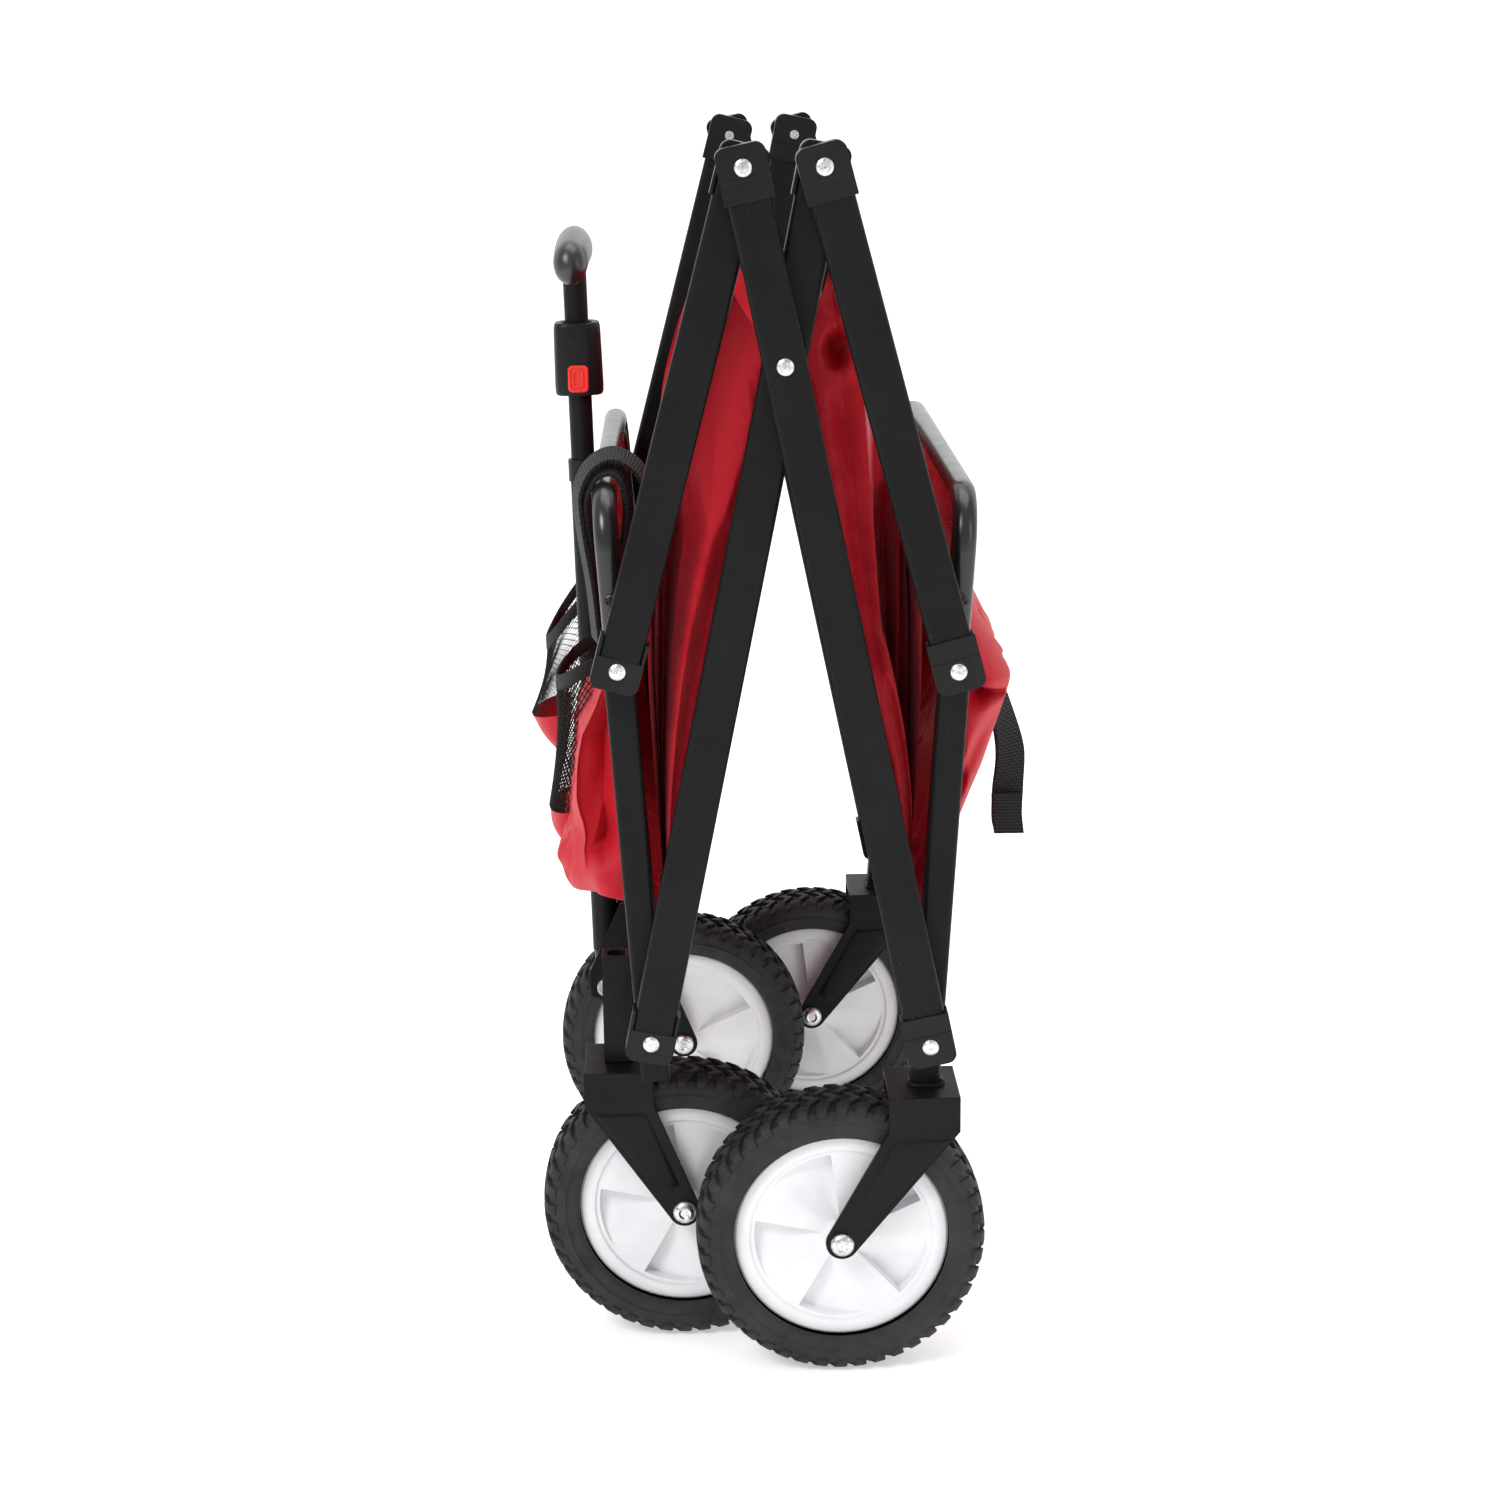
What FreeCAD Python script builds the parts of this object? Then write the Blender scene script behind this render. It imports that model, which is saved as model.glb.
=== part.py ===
import FreeCAD, Part
import math
import os
import re
import Sketcher
from FreeCAD import Placement, Rotation, Vector

# Folding utility wagon, stored folded. Millimetres, +Z up, the floor at z = 0.
# The front (pull handle) is towards -X and the left side is towards -Y.
# Two upright frames stand on the wheels, and four crossing arms a side join them.

SIZES = [
    # wheels
    ("wheel_radius", 89.0), ("wheel_width", 42.0), ("tyre_round", 8.0), ("rim_radius", 66.0),
    ("rim_lip", 5.0), ("rim_lip_width", 30.0), ("rim_web", 26.0), ("hub_radius", 15.0),
    ("hub_length", 43.0), ("axle_radius", 5.0), ("running_gap", 0.06), ("front_wheel_x", -65.7),
    ("rear_wheel_x", 30.2), ("front_wheel_y", 144.0), ("rear_wheel_y", 196.0),
    # forks
    ("fork_length", 43.0), ("fork_width", 52.0), ("fork_head", 22.0), ("fork_wall", 3.0),
    ("front_fork_top", 182.0), ("rear_fork_top", 183.0), ("rear_fork_x", 80.2), ("boss_radius", 10.0),
    ("nut_radius", 7.0), ("nut_height", 3.5), ("stem_x", -105.0), ("stem_pin_radius", 6.0),
    ("stem_pin_length", 50.0), ("stem_size", 18.0), ("stem_top", 252.0),
    # upright frames, measured up from the lower arm pivots
    ("post_x", 83.8), ("pivot_height", 213.9), ("lean", 3.7), ("post_size_x", 18.0),
    ("post_size_y", 16.0), ("post_foot", 30.3), ("post_head", 245.5), ("front_post_y", 180.0),
    ("rear_post_y", 194.0), ("tube_wall", 1.5), ("tube_round", 3.0), ("rail_size_x", 14.9),
    ("rail_size_y", 12.9), ("rail_foot", 220.5), ("rail_bend", 30.0), ("rail_top", 329.0),
    ("screw_height", 269.5), ("screw_radius", 3.5), ("screw_length", 17.0), ("crossbar_size", 16.0),
    ("crossbar_height", 232.0), ("front_crossbar_x", -88.0), ("rear_crossbar_x", 85.0),
    # arms
    ("arm_width", 25.0), ("arm_thick", 12.0), ("arm_end", 6.0), ("arm_below_cross", 416.5),
    ("arm_above_cross", 112.0), ("short_arm", 296.6), ("outer_layer", 209.5), ("inner_layer", 196.5),
    ("cap_width", 29.0), ("cap_thick", 13.8), ("cap_neck_thick", 13.0), ("cap_shift", 0.6),
    ("cap_up", 19.0), ("cap_step", 7.0), ("cap_down", 12.5), ("cap_round", 6.0), ("rivet_radius", 3.0),
    ("rivet_gap", 0.08), ("rivet_head", 5.2), ("rivet_rise", 2.4),
    # pull handle, measured up from its pivot
    ("handle_x", -116.0), ("handle_z", 182.0), ("handle_lean", 1.1), ("eye_radius", 10.0),
    ("eye_width", 16.0), ("handle_bolt_radius", 4.0), ("yoke_plug", 45.0), ("lower_tube_radius", 8.5),
    ("lower_tube_bore", 7.56), ("lower_tube_foot", 23.0), ("lower_tube_head", 342.0),
    ("bush_radius", 9.6), ("bush_height", 14.0), ("upper_tube_radius", 7.5), ("upper_tube_bore", 6.0),
    ("upper_tube_foot", 60.0), ("collar_foot", 398.0), ("collar_head", 444.0), ("collar_x", 31.0),
    ("collar_y", 27.0), ("collar_round", 7.0), ("grip_height", 486.0), ("grip_length", 130.0),
    ("grip_mid_x", 31.0), ("grip_mid_z", 34.0), ("grip_end_x", 23.0), ("grip_end_z", 30.0),
    ("button_height", 409.0), ("button_x", 13.0), ("button_z", 17.0), ("button_proud", 2.0),
    ("button_depth", 6.0), ("button_gap", 0.3), ("button_travel", 1.5), ("cheek_gap", 17.6),
    ("cheek_wall", 3.0), ("bracket_back", 20.0), ("bracket_top", 58.0), ("bracket_nose", 11.0),
    # floor boards and soft parts
    ("board_x", 71.6), ("board_z", 262.0), ("board_tilt", 11.3), ("board_length", 312.0),
    ("board_width", 310.0), ("board_thick", 4.0), ("cloth", 2.0), ("panel_width", 322.0),
    ("panel_foot", 58.0), ("panel_head", 312.0), ("panel_out", 4.0), ("side_wall_y", 166.5),
    ("cup_y", 74.0), ("cup_width", 84.0), ("cup_depth", 44.0), ("cup_foot", 121.0), ("cup_head", 222.0),
    ("cup_wall", 2.0), ("loop_y", 132.0), ("loop_radius", 12.0), ("loop_tail", 75.0),
    ("strap_width", 24.0), ("strap_y", 40.0), ("strap_reach", 148.0), ("strap_high", 425.0),
    ("strap_low", 335.0),
]
ALIASES = {alias for alias, _ in SIZES}
SIDES = (("left", -1), ("right", 1))
UPRIGHT = Rotation()

document = FreeCAD.newDocument("FoldingWagon")
sheet = document.addObject("Spreadsheet::Sheet", "Sizes")
for row, (alias, number) in enumerate(SIZES, start=1):
    sheet.set(f"A{row}", alias)
    sheet.set(f"B{row}", str(number))
    sheet.setAlias(f"B{row}", alias)
document.recompute()
nodes = []


def size(expression):
    """The number that an expression over the driving dimensions gives."""
    return float(sheet.evalExpression(expression))


def bind(item, target, expression):
    """Ties a property or a sketch constraint to the sheet."""
    def cell(match):
        return f"Sizes.{match.group()}" if match.group() in ALIASES else match.group()

    item.setExpression(target, re.sub(r"[a-z_]+", cell, expression))


def new_body(label):
    body = document.addObject("PartDesign::Body", label)
    body.Label = label
    return body


def new_sketch(body, plane):
    sketch = body.newObject("Sketcher::SketchObject", body.Name + "_sketch")
    origin = next(item for item in body.Origin.OriginFeatures if item.Role == plane)
    sketch.AttachmentSupport = [(origin, "")]
    sketch.MapMode = "FlatFace"
    return sketch


def hold(sketch, kind, geometry, point, expression):
    """Holds one coordinate of a sketch point at a distance from the origin."""
    index = sketch.addConstraint(Sketcher.Constraint(kind, -1, 1, geometry, point, size(expression)))
    bind(sketch, f"Constraints[{index}]", expression)


def outline(sketch, corners):
    """Draws a closed outline through corners given as pairs of expressions."""
    first = sketch.GeometryCount
    places = [Vector(size(across), size(along), 0) for across, along in corners]
    count = len(corners)
    for step in range(count):
        sketch.addGeometry(Part.LineSegment(places[step], places[(step + 1) % count]))
    for step in range(count):
        following = first + (step + 1) % count
        sketch.addConstraint(Sketcher.Constraint("Coincident", first + step, 2, following, 1))
    for step, (across, along) in enumerate(corners):
        hold(sketch, "DistanceX", first + step, 1, across)
        hold(sketch, "DistanceY", first + step, 1, along)


def ring(sketch, across, along, radius):
    """Draws a circle about a point given as expressions."""
    place = Vector(size(across), size(along), 0)
    index = sketch.addGeometry(Part.Circle(place, Vector(0, 0, 1), size(radius)))
    hold(sketch, "DistanceX", index, 3, across)
    hold(sketch, "DistanceY", index, 3, along)
    held = sketch.addConstraint(Sketcher.Constraint("Radius", index, size(radius)))
    bind(sketch, f"Constraints[{held}]", radius)


def rectangle(sketch, width, height, low="0"):
    """Draws a rectangle centred across, from low upwards."""
    left, right = f"-({width}) / 2", f"({width}) / 2"
    top = f"({low}) + ({height})"
    outline(sketch, [(left, low), (right, low), (right, top), (left, top)])


def extrude(body, kind, sketch, length, symmetric=True, reverse=False):
    feature = body.newObject(kind, body.Name + "_" + kind.split("::")[1].lower())
    feature.Profile = sketch
    feature.SideType = "Symmetric" if symmetric else "One side"
    feature.Reversed = reverse
    bind(feature, "Length", length)
    document.recompute()
    return feature


def pad(body, sketch, length, symmetric=True, reverse=False):
    return extrude(body, "PartDesign::Pad", sketch, length, symmetric, reverse)


def pocket(body, sketch, length):
    before = body.Shape.Volume
    feature = extrude(body, "PartDesign::Pocket", sketch, length)
    assert body.Shape.Volume < before, f"{body.Label}: a pocket removed nothing"
    return feature


def revolve(body, sketch):
    feature = body.newObject("PartDesign::Revolution", body.Name + "_revolution")
    feature.Profile = sketch
    feature.ReferenceAxis = (sketch, ["V_Axis"])
    feature.Angle = 360
    document.recompute()
    return feature


def round_edges(body, feature, radius, wanted):
    """Rounds the edges of a feature for which wanted(edge) is true."""
    names = [f"Edge{index}" for index, edge in enumerate(feature.Shape.Edges, start=1) if wanted(edge)]
    fillet = body.newObject("PartDesign::Fillet", body.Name + "_fillet")
    fillet.Base = (feature, names)
    bind(fillet, "Radius", radius)
    document.recompute()
    return fillet


def runs_along(axis):
    """A test for straight edges that run along an axis."""
    def wanted(edge):
        straight = isinstance(edge.Curve, Part.Line)
        return straight and abs(abs(edge.tangentAt(edge.FirstParameter).dot(axis)) - 1) < 1e-6

    return wanted


def finish(item, place=(0, 0, 0), turn=UPRIGHT):
    """Places a sub-part and lists it as a node."""
    item.Placement = Placement(Vector(*place), turn)
    nodes.append(item)
    return item


def group(label, members):
    """Lists several separate solids as one node."""
    compound = document.addObject("Part::Compound", label)
    compound.Label = label
    compound.Links = members
    nodes.append(compound)


def about_y(degrees):
    return Rotation(Vector(0, 1, 0), degrees)


def facing(side):
    """Turns +Z outwards, to the left or the right side."""
    return Rotation(Vector(1, 0, 0), -90 * side)


# The folded linkage: every pivot's place in the side view.
TILT = math.degrees(math.asin(size("post_x / arm_below_cross")))
LEAN = size("lean")
FOOT = Vector(-size("post_x"), 0, size("pivot_height"))
UP_ARM = Vector(math.sin(math.radians(TILT)), 0, math.cos(math.radians(TILT)))
UP_POST = Vector(-math.sin(math.radians(LEAN)), 0, math.cos(math.radians(LEAN)))
CROSS = FOOT + UP_ARM * size("arm_below_cross")
PEAK = Vector(-UP_ARM.x, 0, UP_ARM.z) * size("arm_above_cross") + CROSS
reach = PEAK - FOOT
drop = math.sqrt(size("short_arm") ** 2 - (reach - UP_POST * reach.dot(UP_POST)).Length ** 2)
KNEE = FOOT + UP_POST * (reach.dot(UP_POST) - drop)
SHORT_TILT = math.degrees(math.atan2(PEAK.x - KNEE.x, PEAK.z - KNEE.z))


def mirrored(place, end):
    """The same pivot on the front (-1) or the rear (1) half."""
    return Vector(-end * place.x, place.y, place.z)


def flat_tube(label, across, deep, length):
    """A rectangular tube with rounded corners, standing along Z."""
    body = new_body(label)
    sketch = new_sketch(body, "XY_Plane")
    rectangle(sketch, across, deep, f"-({deep}) / 2")
    base = pad(body, sketch, length, symmetric=False)
    round_edges(body, base, "tube_round", runs_along(Vector(0, 0, 1)))
    bore = new_sketch(body, "XY_Plane")
    inner = f"({deep}) - 2 * tube_wall"
    rectangle(bore, f"({across}) - 2 * tube_wall", inner, f"-({inner}) / 2")
    pocket(body, bore, f"3 * ({length})")
    return body


def cross_holes(body, heights, radius):
    """Bores round holes along Y through a body."""
    sketch = new_sketch(body, "XZ_Plane")
    for height in heights:
        ring(sketch, "0", height, radius)
    pocket(body, sketch, "4 * post_size_x")


def round_tube(label, radius, bore, low, high):
    """A round tube standing along Z between two heights."""
    body = new_body(label)
    sketch = new_sketch(body, "XZ_Plane")
    outline(sketch, [(bore, low), (radius, low), (radius, high), (bore, high)])
    revolve(body, sketch)
    return body


# ---------------------------------------------------------------- wheels

def tyre(label):
    body = new_body(label)
    sketch = new_sketch(body, "XZ_Plane")
    half = "wheel_width / 2"
    outline(sketch, [("rim_radius", f"-{half}"), ("wheel_radius", f"-{half}"), ("wheel_radius", half),
                     ("rim_radius", half)])
    base = revolve(body, sketch)
    outside = size("wheel_radius") - 1
    round_edges(body, base, "tyre_round",
                lambda edge: isinstance(edge.Curve, Part.Circle) and edge.Curve.Radius > outside)
    return body


def rim(label):
    body = new_body(label)
    sketch = new_sketch(body, "XZ_Plane")
    bore, edge, inner = "axle_radius + running_gap", "rim_radius - 0.02", "rim_radius - rim_lip"
    outline(sketch, [(bore, "-hub_length / 2"), ("hub_radius", "-hub_length / 2"),
                     ("hub_radius", "-rim_web / 2"), (inner, "-rim_web / 2"), (inner, "-rim_lip_width / 2"),
                     (edge, "-rim_lip_width / 2"), (edge, "rim_lip_width / 2"), (inner, "rim_lip_width / 2"),
                     (inner, "rim_web / 2"), ("hub_radius", "rim_web / 2"), ("hub_radius", "hub_length / 2"),
                     (bore, "hub_length / 2")])
    revolve(body, sketch)
    return body


def axle(label):
    """The wheel bolt, with its head and nut outside the fork."""
    body = new_body(label)
    sketch = new_sketch(body, "XZ_Plane")
    face, end = "fork_width / 2", "fork_width / 2 + nut_height"
    outline(sketch, [("0", f"-({end})"), ("nut_radius - 1", f"-({end})"), ("nut_radius", f"-({end}) + 1"),
                     ("nut_radius", f"-{face}"), ("axle_radius", f"-{face}"), ("axle_radius", face),
                     ("nut_radius", face), ("nut_radius", f"{end} - 1"), ("nut_radius - 1", end),
                     ("0", end)])
    revolve(body, sketch)
    return body


def fork(label, trail, top, pin):
    """A pressed fork: a channel whose two legs taper down to the axle."""
    body = new_body(label)
    drop = f"({top} - wheel_radius)"
    sketch = new_sketch(body, "XZ_Plane")
    leg = math.atan2(size(trail), size(f"{drop} - fork_head"))
    across = f"{math.cos(leg):.4f} * boss_radius"
    along = f"{math.sin(leg):.4f} * boss_radius"
    half = "fork_length / 2"
    outline(sketch, [(f"-{half}", "0"), (f"-{half}", "-fork_head"),
                     (f"({trail}) - {across}", f"-{drop} - {along}"),
                     (f"({trail}) + {across}", f"-{drop} + {along}"), (half, "-fork_head"), (half, "0")])
    pad(body, sketch, "fork_width")
    boss = new_sketch(body, "XZ_Plane")
    ring(boss, trail, f"-{drop}", "boss_radius")
    pad(body, boss, "fork_width")
    room = new_sketch(body, "XZ_Plane")
    outline(room, [("-2 * wheel_radius", "-fork_wall"), ("-2 * wheel_radius", "-2 * wheel_radius"),
                   ("2 * wheel_radius", "-2 * wheel_radius"), ("2 * wheel_radius", "-fork_wall")])
    pocket(body, room, "fork_width - 2 * fork_wall")
    bore = new_sketch(body, "XZ_Plane")
    ring(bore, trail, f"-{drop}", "axle_radius")
    pocket(body, bore, "2 * fork_width")
    if pin:
        kingpin = new_sketch(body, "XY_Plane")
        ring(kingpin, "0", "0", "stem_pin_radius")
        pad(body, kingpin, "stem_pin_length", symmetric=False)
    return body


rear_axles = []
for end_name, end in (("front", -1), ("rear", 1)):
    for side_name, side in SIDES:
        wheel_y = side * size(f"{end_name}_wheel_y")
        hub = (size(f"{end_name}_wheel_x"), wheel_y, size("wheel_radius"))
        finish(tyre(f"tyre_{end_name}_{side_name}"), hub, facing(side))
        finish(rim(f"rim_{end_name}_{side_name}"), hub, facing(side))
        bolt = axle(f"axle_{end_name}_{side_name}")
        if end < 0:
            finish(bolt, hub, facing(side))
            forked = fork(f"fork_front_{side_name}", "front_wheel_x - stem_x", "front_fork_top", pin=True)
            finish(forked, (size("stem_x"), wheel_y, size("front_fork_top")))
        else:
            bolt.Placement = Placement(Vector(*hub), facing(side))
            rear_axles.append(bolt)
            forked = fork(f"fork_rear_{side_name}", "rear_wheel_x - rear_fork_x", "rear_fork_top", pin=False)
            finish(forked, (size("rear_fork_x"), wheel_y, size("rear_fork_top")))
group("rear_axles", rear_axles)


# ---------------------------------------------------------------- upright frames

def post(label):
    """A corner post, from below the lower pivot up to the rail's joint."""
    body = flat_tube(label, "post_size_x", "post_size_y", "post_head + post_foot")
    cross_holes(body, ["post_foot"], "rivet_radius + rivet_gap")
    return body


def rail(label, half_width):
    """The bent top rail: an oval tube whose two legs stand in the posts."""
    low, top, bend = size("rail_foot"), size("rail_top"), size("rail_bend")
    corner = bend * (1 - math.sqrt(0.5))
    left = [Vector(0, -half_width, low), Vector(0, -half_width, top - bend),
            Vector(0, -half_width + corner, top - corner), Vector(0, -half_width + bend, top)]
    right = [Vector(0, -place.y, place.z) for place in reversed(left)]
    spine = Part.Wire([Part.LineSegment(left[0], left[1]).toShape(), Part.Arc(*left[1:]).toShape(),
                       Part.LineSegment(left[3], right[0]).toShape(), Part.Arc(*right[:3]).toShape(),
                       Part.LineSegment(right[2], right[3]).toShape()])

    def tube(shrink):
        long_half, short_half = size("rail_size_x") / 2 - shrink, size("rail_size_y") / 2 - shrink
        oval = Part.Ellipse(left[0], long_half, short_half).toShape()
        return spine.makePipeShell([Part.Wire([oval])], True, True)

    outer_face = half_width + size("rail_size_y") / 2
    start = Vector(0, -2 * outer_face, size("screw_height"))
    hole = Part.makeCylinder(size("screw_radius"), 4 * outer_face, start, Vector(0, 1, 0))
    item = document.addObject("Part::Feature", label)
    item.Label = label
    item.Shape = tube(0).cut(tube(size("tube_wall"))).cut(hole)
    return item


def screw(label):
    """A countersunk screw with its head at the top of its length."""
    body = new_body(label)
    sketch = new_sketch(body, "XZ_Plane")
    outline(sketch, [("0", "0"), ("screw_radius - 0.02", "0"), ("screw_radius - 0.02", "screw_length - 1"),
                     ("screw_radius * 1.4", "screw_length - 1"), ("screw_radius", "screw_length + 0.5"),
                     ("0", "screw_length + 0.5")])
    revolve(body, sketch)
    return body


def crossbar(label, half_length):
    """The lower tie between the two posts of a frame."""
    return flat_tube(label, "crossbar_size", "crossbar_size", f"2 * ({half_length})")


def end_frame(end_name, end):
    """Two posts, the bent rail over them, its screws and the lower crossbar."""
    lean = about_y(end * LEAN)
    foot = mirrored(FOOT, end)
    post_y = size(f"{end_name}_post_y")
    base = foot + lean.multVec(Vector(0, 0, -size("post_foot")))
    for side_name, side in SIDES:
        finish(post(f"{end_name}_post_{side_name}"), (base.x, side * post_y, base.z), lean)
    finish(rail(f"{end_name}_rail", post_y), foot, lean)
    height = foot + lean.multVec(Vector(0, 0, size("screw_height")))
    screws = []
    for side_name, side in SIDES:
        pin = screw(f"{end_name}_screw_{side_name}")
        inside = post_y + size("rail_size_y / 2 + 1 - screw_length")
        pin.Placement = Placement(Vector(height.x, side * inside, height.z), facing(side))
        screws.append(pin)
    group(f"{end_name}_rail_screws", screws)
    bar = crossbar(f"{end_name}_crossbar", f"{end_name}_post_y - post_size_y / 2")
    span = post_y - size("post_size_y") / 2
    finish(bar, (size(f"{end_name}_crossbar_x"), -span, size("crossbar_height")),
           Rotation(Vector(1, 0, 0), -90))


for end_name, end in (("front", -1), ("rear", 1)):
    end_frame(end_name, end)

stems = []
for side_name, side in SIDES:
    stem = new_body(f"front_stem_{side_name}")
    section = new_sketch(stem, "XY_Plane")
    rectangle(section, "stem_size", "stem_size", "-stem_size / 2")
    ring(section, "0", "0", "stem_pin_radius + running_gap")
    block = pad(stem, section, "stem_top - front_fork_top - 0.5", symmetric=False)
    place = Vector(size("stem_x"), side * size("front_wheel_y"), size("front_fork_top + 0.5"))
    stem.Placement = Placement(place, UPRIGHT)
    stems.append(stem)
group("front_stems", stems)


# ---------------------------------------------------------------- folding arms

def arm(label, length, crossed):
    """A flat steel arm along Z from its lower pivot, bored at each pivot."""
    body = flat_tube(label, "arm_width", "arm_thick", f"{length} + 2 * arm_end")
    heights = ["arm_end", f"{length} + arm_end"]
    if crossed:
        heights.append("arm_below_cross + arm_end")
    cross_holes(body, heights, "rivet_radius + rivet_gap")
    return body


def cap(label):
    """A moulded end cap: a thick round end about the pivot, a thinner neck above."""
    body = new_body(label)
    sketch = new_sketch(body, "XZ_Plane")
    rectangle(sketch, "cap_width", "cap_step + cap_down", "-cap_down")
    thick = pad(body, sketch, "cap_thick")
    low = -size("cap_down") + 0.1
    upright = runs_along(Vector(0, 1, 0))
    round_edges(body, thick, "cap_round", lambda edge: upright(edge) and edge.CenterOfMass.z < low)
    neck = new_sketch(body, "XZ_Plane")
    rectangle(neck, "cap_width", "cap_up - cap_step", "cap_step")
    pad(body, neck, "cap_neck_thick")
    return body


def capped(body, shift):
    """Opens a cap for the arm's end and bores it for the rivet."""
    room = new_sketch(body, "XY_Plane")
    room.AttachmentOffset = Placement(Vector(0, shift, 0), UPRIGHT)
    rectangle(room, "arm_width", "arm_thick", "-arm_thick / 2")
    extrude(body, "PartDesign::Pocket", room, "cap_up + 5", symmetric=False, reverse=True)
    below = new_sketch(body, "XY_Plane")
    below.AttachmentOffset = Placement(Vector(0, shift, 0), UPRIGHT)
    rectangle(below, "arm_width", "arm_thick", "-arm_thick / 2")
    extrude(body, "PartDesign::Pocket", below, "arm_end", symmetric=False)
    bore = new_sketch(body, "XZ_Plane")
    ring(bore, "0", "0", "rivet_radius + rivet_gap")
    pocket(body, bore, "4 * cap_thick")
    return body


def rivet(label, length):
    """A rivet with a domed head; its shank runs down from z = 0."""
    body = new_body(label)
    sketch = new_sketch(body, "XZ_Plane")
    outline(sketch, [("0", f"-({length})"), ("rivet_radius", f"-({length})"), ("rivet_radius", "0"),
                     ("rivet_head", "0"), ("rivet_head * 0.93", "rivet_rise * 0.5"),
                     ("rivet_head * 0.65", "rivet_rise * 0.88"), ("0", "rivet_rise")])
    revolve(body, sketch)
    return body


def cap_pair(name, side_name, side, layer, shift, lower, upper, tilt):
    """The two end caps of one arm."""
    made = []
    for end_name, place, turn in (("foot", lower, 0), ("head", upper, 180)):
        item = capped(cap(f"{name}_{side_name}_{end_name}_cap"), -side * shift)
        y = side * (size(layer) + shift)
        spin = about_y(tilt + turn)
        item.Placement = Placement(Vector(place.x, y, place.z), spin)
        made.append(item)
    return made


def arm_pair(name, layer, shift, length, lower, upper, tilt, crossed):
    """One arm on each side, with their four end caps as one node."""
    caps = []
    for side_name, side in SIDES:
        beam = arm(f"{name}_arm_{side_name}", length, crossed)
        down = about_y(tilt).multVec(Vector(0, 0, -size("arm_end")))
        finish(beam, (lower.x + down.x, side * size(layer), lower.z + down.z), about_y(tilt))
        caps += cap_pair(name, side_name, side, layer, shift, lower, upper, tilt)
    group(f"{name}_arm_caps", caps)


OUTER_FACE = "outer_layer + cap_shift + cap_thick / 2"
INNER_FACE = "inner_layer - cap_shift + cap_thick / 2"
CROSS_FACE = "outer_layer + arm_thick / 2"
INNER_BACK = "inner_layer - cap_shift - cap_thick / 2"
OUTER_BACK = "outer_layer + cap_shift - cap_thick / 2"
SHIFT = size("cap_shift")

for end_name, end, layer, shift in (("front", -1, "inner_layer", -SHIFT), ("rear", 1, "outer_layer", SHIFT)):
    foot = mirrored(FOOT, end)
    peak = mirrored(PEAK, -end)
    arm_pair(f"{end_name}_long", layer, shift, "(arm_below_cross + arm_above_cross)", foot, peak,
             -end * TILT, crossed=True)
for end_name, end, layer, shift in (("front", -1, "inner_layer", -SHIFT), ("rear", 1, "outer_layer", SHIFT)):
    knee = mirrored(KNEE, end)
    peak = mirrored(PEAK, end)
    arm_pair(f"{end_name}_short", layer, shift, "short_arm", knee, peak, -end * SHORT_TILT, crossed=False)


def rivet_group(label, pivots):
    """Rivets on both sides; each pivot is a place, its outer face and its shank's end."""
    made = []
    for number, (place, face, end_y) in enumerate(pivots, start=1):
        for side_name, side in SIDES:
            item = rivet(f"{label}_{number}_{side_name}", f"{face} - ({end_y})")
            item.Placement = Placement(Vector(place.x, side * size(face), place.z), facing(side))
            made.append(item)
    group(label, made)


FRONT_POST_BACK = "front_post_y - post_size_y / 2 - 1"
REAR_POST_BACK = "rear_post_y - post_size_y / 2 - 1"
rivet_group("front_foot_rivets", [(FOOT, INNER_FACE, FRONT_POST_BACK)])
rivet_group("rear_foot_rivets", [(mirrored(FOOT, 1), OUTER_FACE, REAR_POST_BACK)])
rivet_group("front_long_arm_rivets", [(mirrored(PEAK, 1), OUTER_FACE, INNER_BACK),
                                      (CROSS, CROSS_FACE, "inner_layer - arm_thick / 2 - 1")])
rivet_group("rear_long_arm_rivets", [(PEAK, OUTER_FACE, INNER_BACK)])
rivet_group("front_short_arm_rivets", [(KNEE, INNER_FACE, INNER_BACK)])
rivet_group("rear_short_arm_rivets", [(mirrored(KNEE, 1), OUTER_FACE, OUTER_BACK)])


# ---------------------------------------------------------------- pull handle

PIVOT = (size("handle_x"), 0, size("handle_z"))
HANDLE_TURN = about_y(-size("handle_lean"))


def handle_bracket():
    """A channel on the front crossbar whose cheeks hold the handle's eye."""
    body = new_body("handle_bracket")
    sketch = new_sketch(body, "XZ_Plane")
    outline(sketch, [("-bracket_nose", "-bracket_nose * 0.6"), ("0", "-bracket_nose"),
                     ("bracket_back", "0"), ("bracket_back", "bracket_top"),
                     ("bracket_back / 2", "bracket_top"), ("-bracket_nose", "bracket_nose")])
    pad(body, sketch, "cheek_gap + 2 * cheek_wall")
    room = new_sketch(body, "XZ_Plane")
    front, back = "-2 * bracket_nose", "bracket_back - cheek_wall"
    low, high = "-2 * bracket_nose", "2 * bracket_top"
    outline(room, [(front, low), (back, low), (back, high), (front, high)])
    pocket(body, room, "cheek_gap")
    bore = new_sketch(body, "XZ_Plane")
    ring(bore, "0", "0", "handle_bolt_radius")
    pocket(body, bore, "3 * cheek_gap")
    return body


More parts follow.
